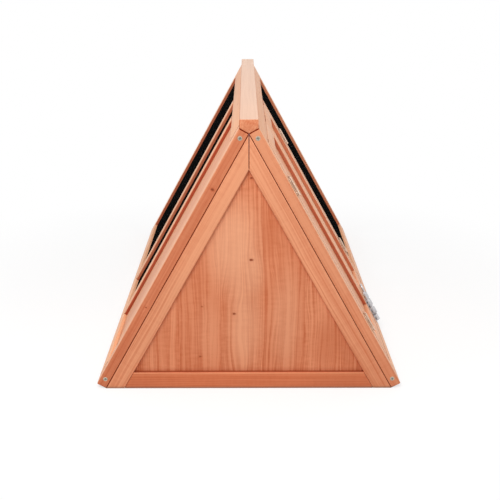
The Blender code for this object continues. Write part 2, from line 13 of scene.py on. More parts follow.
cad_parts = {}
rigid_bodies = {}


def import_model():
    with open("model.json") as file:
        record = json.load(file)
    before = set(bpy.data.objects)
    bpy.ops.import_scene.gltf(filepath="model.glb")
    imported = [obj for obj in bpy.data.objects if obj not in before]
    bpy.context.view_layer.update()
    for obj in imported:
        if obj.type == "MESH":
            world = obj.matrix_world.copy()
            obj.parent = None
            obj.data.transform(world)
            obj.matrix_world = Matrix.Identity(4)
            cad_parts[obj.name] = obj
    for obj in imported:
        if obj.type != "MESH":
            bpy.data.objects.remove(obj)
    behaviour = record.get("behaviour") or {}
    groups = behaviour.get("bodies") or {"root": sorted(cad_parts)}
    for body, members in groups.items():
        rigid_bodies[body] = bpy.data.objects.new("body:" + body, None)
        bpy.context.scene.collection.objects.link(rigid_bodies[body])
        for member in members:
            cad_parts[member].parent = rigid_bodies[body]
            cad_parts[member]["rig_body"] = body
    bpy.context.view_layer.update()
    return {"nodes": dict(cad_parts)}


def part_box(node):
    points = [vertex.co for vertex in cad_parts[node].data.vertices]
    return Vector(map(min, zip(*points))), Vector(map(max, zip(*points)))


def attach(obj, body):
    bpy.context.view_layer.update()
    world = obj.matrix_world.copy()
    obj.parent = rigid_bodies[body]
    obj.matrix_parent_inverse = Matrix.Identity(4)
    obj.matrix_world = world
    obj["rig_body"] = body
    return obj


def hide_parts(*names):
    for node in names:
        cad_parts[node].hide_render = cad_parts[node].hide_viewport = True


bl_info = {
    "name": "Coop Dressing",
    "version": (1, 0, 0),
    "blender": (4, 5, 0),
    "location": "3D View > Sidebar > Coop",
    "description": "Timber, wire nets, hinges, bolts and studio for a small A-frame chicken coop",
    "category": "Object",
}

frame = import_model()

# The coop as the frame has it: lean of its sides, size, and play between its pieces
LEAN = math.radians(60.9)
COOP_LENGTH = 1.000
COOP_WIDTH = 0.600
FRAME_THICKNESS = 0.020
CLEARANCE = 0.0003
X = Vector((1, 0, 0))
Y = Vector((0, 1, 0))
Z = Vector((0, 0, 1))

# Corners nearer than this are one, a corner within this of a plane lies in it, and one within this of a
# place is at it
MERGE_DISTANCE = 0.00001
IN_PLANE = 0.00002
AT_PLACE = 0.0001

# Cosine from which a face looks along an axis
SQUARELY = 0.9


# Settings

def length_setting(name, description, default, least=0):
    return bpy.props.FloatProperty(
        name=name, description=description, default=default, min=least, unit='LENGTH')


def angle_setting(name, description, default):
    return bpy.props.FloatProperty(name=name, description=description, default=default, unit='ROTATION')


def colour_setting(name, description, default):
    return bpy.props.FloatVectorProperty(
        name=name, description=description, default=default, size=3, min=0, max=1, subtype='COLOR')


class TimberSettings(bpy.types.PropertyGroup):
    eased_edge: length_setting("Eased Edge", "Width planed off an open edge of a batten", 0.0026)
    seam_edge: length_setting("Seam Edge", "Width planed off an edge that meets another batten", 0.0008)
    ring_spacing: length_setting("Ring Spacing", "Distance between two growth rings", 0.0052, 0.001)
    board_width: length_setting("Board Width", "Width of one board of a glued panel", 0.0805, 0.01)
    batten_light: colour_setting(
        "Batten Early Wood", "Stained colour of the light part of a ring", (0.84, 0.352, 0.188))
    batten_dark: colour_setting(
        "Batten Late Wood", "Stained colour of the dark part of a ring", (0.66, 0.190, 0.085))
    panel_light: colour_setting("Panel Early Wood", "Light streaks of the panels", (0.83, 0.320, 0.166))
    panel_dark: colour_setting("Panel Late Wood", "Dark streaks of the panels", (0.585, 0.153, 0.062))
    # Painted sheen: this paler colour stands in for the sheen on the wide faces and the light on faces that
    # look up
    open_face: colour_setting(
        "Open Face", "Paler wood on the planed wide faces of the sides", (0.91, 0.58, 0.33))
    # Painted sheen on top of the ridge beam, paler still towards its far end
    ridge_sheen: colour_setting("Ridge Face", "Bleached wood on top of the ridge beam", (0.52, 0.395, 0.29))
    ridge_far: colour_setting(
        "Ridge Far End", "Still paler wood at the far end of the ridge beam", (0.70, 0.55, 0.41))
    sapwood: colour_setting("Sapwood", "Paler and less red wood in a panel", (0.90, 0.45, 0.265))
    # Painted shade along the feet of the frame, where they stand on the floor
    foot_shade: colour_setting("Foot Shade", "Damp and dirt along the feet of the frame", (0.20, 0.13, 0.095))
    knot: colour_setting("Knot", "Heart of a knot", (0.27, 0.060, 0.028))
    # Painted shade on the narrow sides of the boards, in a deep red
    pooled: colour_setting(
        "Narrow Side Shade", "Deep red where the stain pools on narrow sides", (0.33, 0.042, 0.017))
    seam: colour_setting("Seam", "Dirt and shade caught in the seams", (0.190, 0.020, 0.003))


class WireSettings(bpy.types.PropertyGroup):
    diameter: length_setting("Diameter", "Coated diameter of a wire", 0.00085, 0.0003)
    pitch: length_setting("Pitch", "Distance between two wires, before it is fitted", 0.0095, 0.004)
    sides: bpy.props.IntProperty(
        name="Sides", description="Flats round a wire", default=6, min=4, max=16)
    coating: colour_setting("Coating", "Colour of the black coating", (0.0012, 0.0012, 0.0012))


class MetalSettings(bpy.types.PropertyGroup):
    leaf_length: length_setting("Leaf Length", "Height of a butt hinge", 0.040, 0.01)
    leaf_width: length_setting("Leaf Width", "From the pin to the edge of a leaf", 0.014, 0.005)
    sheet: length_setting("Sheet", "Thickness of the leaves and plates", 0.0012, 0.0004)
    knuckle_radius: length_setting("Knuckle Radius", "Outer radius of a rolled knuckle", 0.0026, 0.001)
    pin_radius: length_setting("Pin Radius", "Radius of a hinge pin", 0.0013, 0.0005)
    rod_radius: length_setting("Rod Radius", "Radius of a bolt rod", 0.0030, 0.001)
    plate_width: length_setting("Plate Width", "Width of a bolt plate", 0.024, 0.01)
    hinge: colour_setting("Hinge", "Pale yellow zinc of the hinges", (0.80, 0.575, 0.435))
    bolt: colour_setting("Bolt", "Blue-white zinc of the bolts", (0.72, 0.71, 0.72))
    screw: colour_setting("Frame Screw", "Grey-green zinc of the frame screws", (0.60, 0.56, 0.45))
    # Painted shade in the recess of a screw, and painted dark reflection on a head
    recess: colour_setting("Recess", "Grime in the recess of a screw", (0.055, 0.040, 0.030))


class StageSettings(bpy.types.PropertyGroup):
    focal_length: bpy.props.FloatProperty(
        name="Focal Length", description="Lens on a 36 mm sensor", default=59.256, min=10)
    camera_place: bpy.props.FloatVectorProperty(
        name="Camera", description="Where the lens stands",
        default=(-0.0062, -1.9495, 0.7889), size=3, subtype='XYZ', unit='LENGTH')
    camera_pitch: angle_setting("Pitch", "How far the lens looks down", 0.33206)
    camera_yaw: angle_setting("Yaw", "How far the lens looks to the right", 0.00562)
    camera_roll: angle_setting("Roll", "How far the camera leans", 0.00077)
    floor: colour_setting("Floor", "Colour of the pale floor", (0.55, 0.55, 0.55))
    ambient: bpy.props.FloatProperty(
        name="Ambient", description="Level of the light from all round", default=0.50, min=0)


# Selecting and shaping, as by hand

def pick(*items):
    """Selects these objects alone, or none; the first becomes the active one."""
    if bpy.context.object and bpy.context.object.mode != 'OBJECT':
        bpy.ops.object.mode_set(mode='OBJECT')
    bpy.ops.object.select_all(action='DESELECT')
    for item in items:
        item.select_set(True)
    if items:
        bpy.context.view_layer.objects.active = items[0]


@contextmanager
def editing(item):
    """Edit mode of one object, for as long as the block lasts."""
    pick(item)
    bpy.ops.object.mode_set(mode='EDIT')
    yield
    bpy.ops.object.mode_set(mode='OBJECT')


def select_where(kind, test):
    """In edit mode, selects the vertices, edges or faces that pass the test."""
    bpy.ops.mesh.select_mode(type={"verts": 'VERT', "edges": 'EDGE', "faces": 'FACE'}[kind])
    bpy.ops.mesh.select_all(action='DESELECT')
    shape = bmesh.from_edit_mesh(bpy.context.object.data)
    chosen = [part for part in getattr(shape, kind) if test(part)]
    if not chosen:
        raise RuntimeError(f"nothing to select among the {kind} of {bpy.context.object.name}")
    for part in chosen:
        part.select_set(True)
    shape.select_flush_mode()
    bmesh.update_edit_mesh(bpy.context.object.data)


def middle(part):
    """Middle of an edge or a face."""
    return sum((corner.co for corner in part.verts), Vector()) / len(part.verts)


def extrude(x, y, z):
    """In edit mode, draws out what is selected."""
    bpy.ops.mesh.extrude_region_move(TRANSFORM_OT_translate={"value": (x, y, z)})


def cut_through(spot, way, **options):
    """In edit mode, cuts the whole shape at a spot, square to a way."""
    bpy.ops.mesh.select_all(action='SELECT')
    bpy.ops.mesh.bisect(plane_co=spot, plane_no=way, **options)


def round_edges(width, segments):
    """In edit mode, rounds the edges that are selected."""
    bpy.ops.mesh.bevel(offset=width, segments=segments, profile=0.5, affect='EDGES')


def mend(item):
    """Merges the doubled corners of a piece, and makes its faces agree on their way out."""
    with editing(item):
        bpy.ops.mesh.select_all(action='SELECT')
        bpy.ops.mesh.remove_doubles(threshold=MERGE_DISTANCE)
        bpy.ops.mesh.normals_make_consistent(inside=False)


def turn_out(item):
    """Turns the faces of a closed piece round if they look inwards, as a mirrored place can leave them."""
    shape = bmesh.new()
    shape.from_mesh(item.data)
    volume = shape.calc_volume(signed=True)
    shape.free()
    if volume < 0:
        with editing(item):
            bpy.ops.mesh.select_all(action='SELECT')
            bpy.ops.mesh.flip_normals()


def apply_all(item):
    """Applies every modifier of the object in turn."""
    pick(item)
    for step in list(item.modifiers):
        bpy.ops.object.modifier_apply(modifier=step.name)


def soften(item, width, segments, degrees):
    """Rounds the edges that turn by more than this angle."""
    step = item.modifiers.new("soften", 'BEVEL')
    step.width = width
    step.segments = segments
    step.limit_method = 'ANGLE'
    step.angle_limit = math.radians(degrees)
    apply_all(item)


def smooth(item, degrees):
    """Shades a piece smooth, save at the edges that turn by more than this angle."""
    pick(item)
    bpy.ops.object.shade_smooth_by_angle(angle=math.radians(degrees))


def settle(item, place=None):
    """Puts the object's place into its mesh, moved first by an optional matrix."""
    if place is not None:
        item.matrix_world = place @ item.matrix_world
        bpy.context.view_layer.update()
    pick(item)
    bpy.ops.object.transform_apply(location=True, rotation=True, scale=True)


def fresh(maker, **options):
    """New object of a primitive operator, with its place in its mesh."""
    pick()
    maker(**options)
    made = bpy.context.object
    settle(made)
    return made


def slab(centre, size):
    return fresh(bpy.ops.mesh.primitive_cube_add, size=1, location=centre, scale=size)


def cylinder(sides, radius, length, **options):
    return fresh(bpy.ops.mesh.primitive_cylinder_add, vertices=sides, radius=radius, depth=length, **options)


def join(*items):
    """Joins the objects into the first one."""
    pick(*items)
    bpy.ops.object.join()
    return items[0]


def new_object(name, data):
    item = bpy.data.objects.new(name, data)
    bpy.context.scene.collection.objects.link(item)
    return item


def own_copy(item, name):
    """Copy of an object with a mesh of its own."""
    return new_object(name, item.data.copy())


def discard(*items):
    for item in items:
        bpy.data.objects.remove(item)


def fit_out(item, name, node, material):
    """Names a finished piece, gives it its finish, and stands it in for its node."""
    item.name = name
    item.data.name = name
    item.data.materials.clear()
    item.data.materials.append(material)
    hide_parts(node)
    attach(item, frame["nodes"][node]["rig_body"])


# Shader nodes

def fill(tree, sockets, values):
    """Links the values that are sockets, and sets the others."""
    for key, value in values.items():
        if isinstance(value, bpy.types.NodeSocket):
            tree.links.new(value, sockets[key])
        else:
            sockets[key].default_value = value


def add(tree, kind, values=None, **settings):
    """Adds a node, sets its options, fills its inputs, and gives its outputs."""
    made = tree.nodes.new("ShaderNode" + kind)
    for key, value in settings.items():
        setattr(made, key, value)
    fill(tree, made.inputs, values or {})
    return made.outputs


def calc(tree, operation, first, second=0.0, third=0.0, clamp=False):
    values = {0: first, 1: second, 2: third}
    return add(tree, "Math", values, operation=operation, use_clamp=clamp)[0]


def times(tree, first, second, plus=None):
    """Product of two values, with a third added if there is one."""
    if plus is None:
        return calc(tree, 'MULTIPLY', first, second)
    return calc(tree, 'MULTIPLY_ADD', first, second, plus)


def vector_calc(tree, operation, first, second=(0, 0, 0)):
    """Vector that an operation on vectors gives, or the number where it gives one."""
    outputs = add(tree, "VectorMath", {0: first, 1: second}, operation=operation)
    return outputs[1 if operation in ('LENGTH', 'DOT_PRODUCT') else 0]


def vector_of(tree, x, y, z):
    return add(tree, "CombineXYZ", {0: x, 1: y, 2: z})[0]


def parts_of(tree, vector):
    return add(tree, "SeparateXYZ", {0: vector})


def grey(tree, value):
    return add(tree, "CombineColor", {0: value, 1: value, 2: value})[0]


def blend_colour(tree, amount, first, second, mode='MIX'):
    values = {0: amount, 6: first, 7: second}
    return add(tree, "Mix", values, data_type='RGBA', blend_type=mode, clamp_factor=True)[2]


def ease_range(tree, value, low, high, start=0.0, end=1.0):
    values = {"Value": value, "From Min": low, "From Max": high, "To Min": start, "To Max": end}
    return add(tree, "MapRange", values, interpolation_type='SMOOTHSTEP')[0]


def noise(tree, vector, stretch, detail=2.0, roughness=0.5):
    """Noise value of a vector stretched by a scale along each of its axes."""
    scaled = vector_calc(tree, 'MULTIPLY', vector, stretch)
    values = {"Vector": scaled, "Scale": 1.0, "Detail": detail, "Roughness": roughness}
    return add(tree, "TexNoise", values)[0]


def object_place(tree):
    return add(tree, "TexCoord")["Object"]


def attribute(tree, name):
    return add(tree, "Attribute", attribute_name=name)["Fac"]


def facing(tree, axis, low, high, both_ways=False):
    """How squarely the surface faces along an axis."""
    amount = vector_calc(tree, 'DOT_PRODUCT', add(tree, "TexCoord")["Normal"], tuple(axis))
    if both_ways:
        amount = calc(tree, 'ABSOLUTE', amount)
    return ease_range(tree, amount, low, high)


def bump(tree, height, strength, distance):
    return add(tree, "Bump", {"Height": height, "Strength": strength, "Distance": distance})[0]


SURFACE = {"Color": ["Color"], "Float": ["Roughness", "Height"]}


def new_group(name, inputs, outputs=SURFACE):
    """Empty node group with sockets named under their kinds, and its two ends."""
    tree = bpy.data.node_groups.new(name, 'ShaderNodeTree')
    for way, sockets in (('INPUT', inputs), ('OUTPUT', outputs)):
        for kind, labels in sockets.items():
            for label in labels:
                tree.interface.new_socket(name=label, in_out=way, socket_type="NodeSocket" + kind)
    return tree, tree.nodes.new("NodeGroupInput").outputs, tree.nodes.new("NodeGroupOutput").inputs


def knot_group():
    """One knot: a dark heart, a halo, and a push that bends the rings round it."""
    inputs = {"Vector": ["Vector", "Centre"], "Float": ["Size"]}
    tree, start, end = new_group("Pin Knot", inputs, {"Float": ["Heart", "Halo", "Push"]})
    offset = vector_calc(tree, 'SUBTRACT', start["Vector"], start["Centre"])

    def away(stretch):
        """Distance from the middle of the knot, in its sizes."""
        stretched = vector_calc(tree, 'MULTIPLY', offset, stretch)
        return calc(tree, 'DIVIDE', vector_calc(tree, 'LENGTH', stretched), start["Size"])

    ragged = noise(tree, offset, (260, 260, 260), 1.0)
    uneven = times(tree, ragged, 0.7, calc(tree, 'SUBTRACT', away((1.35, 1.0, 0.0)), 0.35))
    fill(tree, end, {
        "Heart": ease_range(tree, uneven, 1.05, 0.45), "Halo": ease_range(tree, uneven, 2.0, 0.8),
        "Push": ease_range(tree, away((0.28, 1.0, 0.0)), 3.2, 0.0)})
    return tree


def grain_group():
    """Sawn softwood in the board's own frame: X along the grain, Y across, Z through it."""
    inputs = {
        "Vector": ["Vector", "Pith"],
        "Color": ["Light", "Dark", "Pale", "Pooled", "Knot Colour", "Seam Colour"],
        "Float": ["Seed", "Spacing", "Wander", "Ring Depth", "Streak Depth", "Ripple", "Drift", "Across Cut",
                  "Open Face", "Side Stain", "Seam", "Heart", "Halo", "Push"],
    }
    tree, start, end = new_group("Sawn Softwood", inputs)
    place = vector_calc(tree, 'ADD', start["Vector"], vector_of(tree, start["Seed"], start["Seed"], 0.0))

    # The rings wander off straight as they run along the board
    bend = noise(tree, place, (2.2, 9, 9), 1.5)
    wobble = noise(tree, place, (7, 34, 34), 2.0)
    drift = times(tree, times(tree, bend, 3.0, wobble), start["Wander"])

    # Each ring darkens slowly outwards from the pith and ends sharply
    parts = parts_of(tree, vector_calc(tree, 'ADD', start["Vector"], start["Pith"]))
    across = calc(tree, 'ADD', parts[1], drift)
    radius = calc(tree, 'SQRT', times(tree, across, across, calc(tree, 'POWER', parts[2], 2.0)))
    uneven = noise(tree, vector_calc(tree, 'MULTIPLY', place, (0.6, 1, 1)), (1, 26, 26), 1.0)
    turn = times(tree, uneven, 2.4, calc(tree, 'DIVIDE', radius, start["Spacing"]))
    ring = calc(tree, 'FRACT', times(tree, start["Push"], 0.7, turn))
    late = times(tree, calc(tree, 'POWER', ring, 1.4), ease_range(tree, ring, 1.0, 0.70))

    # Streaks, fibres and ripples lie over the rings
    wavy = vector_calc(tree, 'ADD', place, vector_of(tree, 0.0, drift, 0.0))
    streak = noise(tree, wavy, (1.6, 210, 210), 3.0, 0.75)
    band = noise(tree, wavy, (1.2, 30, 30), 2.0)
    fibre = noise(tree, place, (14, 620, 620), 2.0)
    ripple = noise(tree, wavy, (170, 45, 45), 2.0)
    patch = noise(tree, place, (3.5, 6, 6), 2.0)
    streaks = calc(tree, 'SUBTRACT', calc(tree, 'ADD', band, times(tree, streak, 3.4)), 1.97)
    depth = times(tree, streaks, start["Streak Depth"])
    depth = times(tree, late, start["Ring Depth"], depth)
    depth = times(tree, calc(tree, 'SUBTRACT', fibre, 0.5), 0.22, depth)
    depth = times(tree, calc(tree, 'SUBTRACT', ripple, 0.5), start["Ripple"], depth)
    depth = times(tree, parts[0], times(tree, start["Drift"], -1.0), depth)
    depth = times(tree, start["Across Cut"], 0.32, depth)
    depth = times(tree, start["Halo"], 0.55, depth)

    colour = blend_colour(tree, depth, start["Light"], start["Dark"])
    colour = blend_colour(tree, 1.0, colour, grey(tree, times(tree, patch, 0.24, 0.88)), 'MULTIPLY')
    # Over the grain go the painted sheen, the painted shade of the narrow sides, the knots, and the dirt and
    # painted shade of the seams
    for amount, over in (("Open Face", "Pale"), ("Side Stain", "Pooled"), ("Heart", "Knot Colour"),
                         ("Seam", "Seam Colour")):
        colour = blend_colour(tree, start[amount], colour, start[over])
    height = times(tree, late, -0.5, times(tree, fibre, 0.6))
    fill(tree, end, {
        "Color": colour,
        "Roughness": times(tree, start["Across Cut"], 0.15, times(tree, streak, 0.16, 0.46)),
        "Height": times(tree, start["Heart"], -0.8, height)})
    return tree


def glued_boards_group():
    """Cuts a panel into boards: each gets a place and a tone of its own."""
    tree, start, end = new_group(
        "Glued Boards", {"Vector": ["Vector"], "Float": ["Width", "Start"]},
        {"Vector": ["Vector"], "Float": ["Tone", "Joint"]})
    from_start = calc(tree, 'SUBTRACT', parts_of(tree, start["Vector"])[1], start["Start"])
    run = calc(tree, 'DIVIDE', from_start, start["Width"])
    board = calc(tree, 'FLOOR', run)
    random = add(tree, "TexWhiteNoise", {"W": calc(tree, 'ADD', board, 3.7)}, noise_dimensions='1D')
    far = vector_calc(tree, 'MULTIPLY', random["Color"], (3.0, 0.11, 0.03))
    odd = calc(tree, 'MODULO', calc(tree, 'ABSOLUTE', board), 2.0)
    edge = calc(tree, 'ABSOLUTE', calc(tree, 'SUBTRACT', run, calc(tree, 'ROUND', run)))
    fill(tree, end, {
        "Vector": vector_calc(tree, 'ADD', start["Vector"], far),
        "Tone": times(tree, odd, -0.6, times(tree, random["Value"], 0.3, 0.6)),
        "Joint": ease_range(tree, edge, 0.012, 0.004)})
    return tree


def zinc_group():
    """Spangled zinc: crystals of two greys, with fine rubbing along the sheet."""
    inputs = {"Vector": ["Vector"], "Color": ["Bright", "Recess Colour"], "Float": ["Recess"]}
    tree, start, end = new_group("Spangled Zinc", inputs)
    cells = add(tree, "TexVoronoi", {"Vector": start["Vector"], "Scale": 420.0})
    crystal = add(tree, "SeparateColor", {0: cells["Color"]})[0]
    rub = noise(tree, start["Vector"], (1400, 90, 1400), 2.0)
    cloud = noise(tree, start["Vector"], (120, 120, 120), 2.0)
    dull = blend_colour(tree, 1.0, start["Bright"], (0.62, 0.61, 0.62, 1), 'MULTIPLY')
    amount = times(tree, crystal, 0.5, times(tree, cloud, 0.6))
    colour = blend_colour(tree, amount, start["Bright"], dull)
    fill(tree, end, {
        # The recess colour is painted shade in a screw's recess and a painted dark reflection on its head
        "Color": blend_colour(tree, start["Recess"], colour, start["Recess Colour"]),
        "Roughness": times(tree, rub, 0.22, times(tree, crystal, 0.12, 0.22)),
        "Height": times(tree, crystal, 0.3, rub)})
    return tree


GROUPS = {}


def add_group(tree, maker, values):
    """Places a node group, built the first time it is asked for."""
    if maker not in GROUPS:
        GROUPS[maker] = maker()
    return add(tree, "Group", values, node_tree=GROUPS[maker])


def new_material(name):
    material = bpy.data.materials.new(name)
    material.use_nodes = True
    return material, material.node_tree


def fill_shader(tree, values):
    """Fills the inputs of the material's shader."""
    fill(tree, tree.nodes["Principled BSDF"].inputs, values)


# Boards of the coop, by where they are
BATTEN_NAMES = {
    "left": "near_stile far_stile top_rail bottom_rail near_division far_division",
    "right": "near_stile far_stile top_rail bottom_rail division",
    "near_end": "left_stile right_stile bottom_rail",
    "far_end": "left_stile right_stile bottom_rail",
    "ridge": "beam",
    "near_door": "hinge_stile lock_stile top_rail bottom_rail",
    "middle_door": "hinge_stile lock_stile top_rail bottom_rail",
}
BATTENS = [place + "_" + part for place, parts in BATTEN_NAMES.items() for part in parts.split()]
PANELS = ["left_near_panel", "near_door_panel", "middle_door_panel", "near_end_panel"]

# Tone of a board, from darker and redder to lighter, where it differs from the rest
TONES = {
    "left_near_stile": -1.0, "right_near_stile": -0.25,
    "near_end_left_stile": 0.1, "near_end_right_stile": 0.05, "near_end_bottom_rail": -1.6,
    "ridge_beam": 0.1, "left_bottom_rail": 0.4, "right_bottom_rail": 0.4,
}

# How much a tone of 1 adds to the red, green and blue of a board
TONE_STEPS = (0.12, 0.26, 0.32)

# How deep the painted shade lies on the narrow sides of a board
SIDE_SHADES = {
    "left_near_division": 0.88, "left_far_division": 0.58, "left_far_stile": 0.64,
    "near_door_lock_stile": 0.64, "middle_door_lock_stile": 0.55, "right_division": 0.30,
    "middle_door_hinge_stile": 0.40, "right_far_stile": 0.30, "left_near_stile": 0.16,
    "right_near_stile": 0.04, "left_bottom_rail": 0.0, "right_bottom_rail": 0.0,
}
SIDE_SHADE = 0.10

# Share of the painted sheen on open faces, and of the painted highlight on the open edges that look up
SHEEN_SHARES = {"side": 0.42, "end": 0.0, "ridge": 0.65}
HIGHLIGHT_SHARE = 0.14

# Joints that show less shade than the rest, and ledges with painted shade
JOINT_SHADES = {"near_end_bottom_rail": 0.05, "right_top_rail": 0.4, "near_door_top_rail": 0.4,
                "middle_door_top_rail": 0.4}
LEDGE_SHADES = {"near_end_bottom_rail": 0.45, "far_end_bottom_rail": 0.45}

# Planing: the sharper ridge, the edges that stand on the ground, and how far joints are closed
SHARP_EDGES = {"ridge_beam": 0.0010}
FOOT_EDGE = 0.0008
JOINT_CLOSING = 0.00013
BEVEL_STEPS = 4

# A spot this low is on the ground, and the painted shade along the foot reaches this high
GROUND = 0.001
FOOT_SHADE_HEIGHT = 0.0065

# Looking for the next timber: how near it touches, how near it lies under a planed edge, how far out from
# a face to look, and how far in from an edge and out from its faces
TOUCH = 0.0009
UNDER_EDGE = 0.0025
LOOK_OUT = 0.0005
EDGE_LOOK_IN = 0.002
EDGE_LOOK_OUT = 0.0007

# Faces: the least turn that makes an edge, cosines of a face that is part of a flat, that is a ledge with
# painted shade, and that looks up enough to take a painted highlight
LEAST_TURN = math.radians(20)
FLAT = 0.9995
LEDGE = 0.95
HIGHLIGHT_UP = 0.1

# Depth of the groove that takes a panel, and how high the shade over it and its dark line reach
PANEL_TONGUE = 0.0077
LEDGE_SHADE = 0.012
LEDGE_LINE = (0.0022, 0.0010)

# Grain of the battens and of the glued panels
BATTEN_GRAIN = {"Ring Depth": 0.30, "Streak Depth": 0.75, "Ripple": 0.40, "Wander": 0.006}
PANEL_GRAIN = {"Ring Depth": 0.30, "Streak Depth": 1.1, "Ripple": 0.70, "Wander": 0.016}
PANEL_SPACING = 1.9

# Where the first glue line of a panel lies across it
GLUE_LINES = {"near_end_panel": 0.0262}

# Knots: place along the grain, place across it, and size
KNOTS = {
    "near_end_panel": [(0.025, 0.0046, 0.0044), (-0.085, -0.0280, 0.0037), (-0.176, -0.0950, 0.0030),
                       (-0.070, -0.0900, 0.0020), (0.183, 0.0044, 0.0028)],
    "left_near_stile": [(0.169, -0.0017, 0.0036), (-0.097, -0.001, 0.0016)],
    "right_top_rail": [(0.210, 0.005, 0.0045)],
    "left_top_rail": [(-0.160, -0.006, 0.0040)],
    "near_door_lock_stile": [(0.090, 0.004, 0.0036)],
    "middle_door_panel": [(0.060, 0.030, 0.0045), (-0.120, -0.045, 0.0035)],
    "left_near_panel": [(0.100, -0.050, 0.0045), (-0.080, 0.040, 0.0040)],
    "left_bottom_rail": [(0.240, 0.006, 0.0045)],
    "right_bottom_rail": [(0.330, -0.004, 0.0040)],
}

# Boards whose knots show on the narrow face, so their second number is through the board
NARROW_KNOTS = {"left_near_stile"}

# Paler sapwood and darker heartwood: middle along and across, reach along and across, depth
SAPWOOD = {"near_end_panel": [
    (0.055, -0.030, 0.140, 0.070, 0.60), (-0.115, -0.006, 0.128, 0.048, 0.46),
    (-0.100, 0.072, 0.150, 0.042, 0.30), (-0.130, -0.080, 0.100, 0.040, 0.16),
    (-0.005, 0.014, 0.060, 0.028, 0.30)]}
HEARTWOOD = {"near_end_panel": [
    (-0.150, 0.158, 0.090, 0.050, 0.55), (-0.150, -0.165, 0.080, 0.030, 0.20),
    (0.085, 0.038, 0.070, 0.024, 0.30)]}


# How the boards lie and look

def slope(node):
    """Up the slope and out of it, on the side that the name says, which is the right one for the doors."""
    side = 1 if "left" in node else -1
    across, rise = math.cos(LEAN), math.sin(LEAN)
    return Vector((side * across, 0, rise)), Vector((-side * rise, 0, across))


def board_frame(node):
    """Turn of a board, with its grain, its breadth and its face as columns, and the middle of its box."""
    along, out = slope(node)
    if node == "ridge_beam":
        along, out = Y, Z
    elif "_end_" in node:
        out = Y
        if "stile" not in node:
            along = X if "rail" in node else Z
    elif "rail" in node:
        along = Y
    low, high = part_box(node)
    return Matrix((along, out.cross(along), out)).transposed(), (low + high) / 2


def number_of(node):
    """Steady number of a piece's name, from which its grain is drawn."""
    return sum((index + 3) * ord(letter) for index, letter in enumerate(node)) % 97


def toned(colour, tone):
    """Colour made lighter, or darker and redder, as a board takes the stain."""
    return (*(min(1, value * (1 + step * tone)) for value, step in zip(colour, TONE_STEPS)), 1)


def patches(tree, vector, places):
    """Sum of soft patches on a board."""
    total = 0.0
    for along, across, reach_along, reach_across, depth in places:
        offset = vector_calc(tree, 'SUBTRACT', vector, (along, across, 0))
        scaled = vector_calc(tree, 'MULTIPLY', offset, (1 / reach_along, 1 / reach_across, 0))
        patch = ease_range(tree, vector_calc(tree, 'LENGTH', scaled), 1.0, 0.2, 0.0, depth)
        total = calc(tree, 'ADD', total, patch, clamp=True)
    return total


def knots(tree, vector, node):
    """Hearts, halos and pushes of the knots of a board, each kind added up."""
    if node in NARROW_KNOTS:
        parts = parts_of(tree, vector)
        vector = vector_of(tree, parts[0], parts[2], parts[1])
    total = {}
    for along, across, size in KNOTS.get(node, []):
        knot = add_group(tree, knot_group, {"Vector": vector, "Centre": (along, across, 0), "Size": size})
        for label in ("Heart", "Halo", "Push"):
            if label in total:
                total[label] = calc(tree, 'ADD', total[label], knot[label], clamp=label != "Push")
            else:
                total[label] = knot[label]
    return total


def sheen_and_highlight(tree, node, timber, turn):
    """Colour of the painted sheen of a board and how much of it shows, with the painted highlight of its
    open edges that look up.
    """
    pale = (*timber.open_face, 1)
    place = "end" if "_end_" in node else "side"
    if node == "ridge_beam":
        place = "ridge"
        # The painted sheen on the ridge grows paler towards its far end
        far = calc(tree, 'ADD', parts_of(tree, object_place(tree))[1], COOP_LENGTH / 2)
        pale = blend_colour(tree, far, (*timber.ridge_sheen, 1), (*timber.ridge_far, 1))
    # Painted sheen on the wide outer faces, and painted highlight on the faces that look up
    open_face = calc(tree, 'MAXIMUM', facing(tree, turn.col[2], 0.90, 1.0), facing(tree, Z, 0.70, 0.85))
    # The worn mark is a painted highlight on open edges that look up
    rubbed = times(tree, attribute(tree, "worn"), HIGHLIGHT_SHARE)
    return pale, calc(tree, 'MAXIMUM', times(tree, open_face, SHEEN_SHARES[place]), rubbed)


def with_painted_shade(tree, node, timber, colour):
    """Colour with painted shade where the near end's boards stand on their rail, and with painted shade
    along the foot.
    """
    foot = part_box(node)[0].z
    if node == "near_end_panel":
        # Painted shade on the panel over the rail, with a darker painted line at its foot
        height = parts_of(tree, object_place(tree))[2]
        ledge = foot + PANEL_TONGUE
        shade = ease_range(tree, height, ledge + LEDGE_SHADE, ledge, 0.0, 0.18)
        line = ease_range(tree, height, ledge + LEDGE_LINE[0], ledge + LEDGE_LINE[1], 0.0, 0.30)
        colour = blend_colour(tree, calc(tree, 'ADD', shade, line), colour, (*timber.seam, 1))
    if foot < GROUND:
        # Painted shade along the foot, darkest where the frame stands on the floor
        height = parts_of(tree, object_place(tree))[2]
        foot_shaded = ease_range(tree, height, FOOT_SHADE_HEIGHT, 0.0, 0.0, 0.75)
        colour = blend_colour(tree, foot_shaded, colour, (*timber.foot_shade, 1))
    return colour


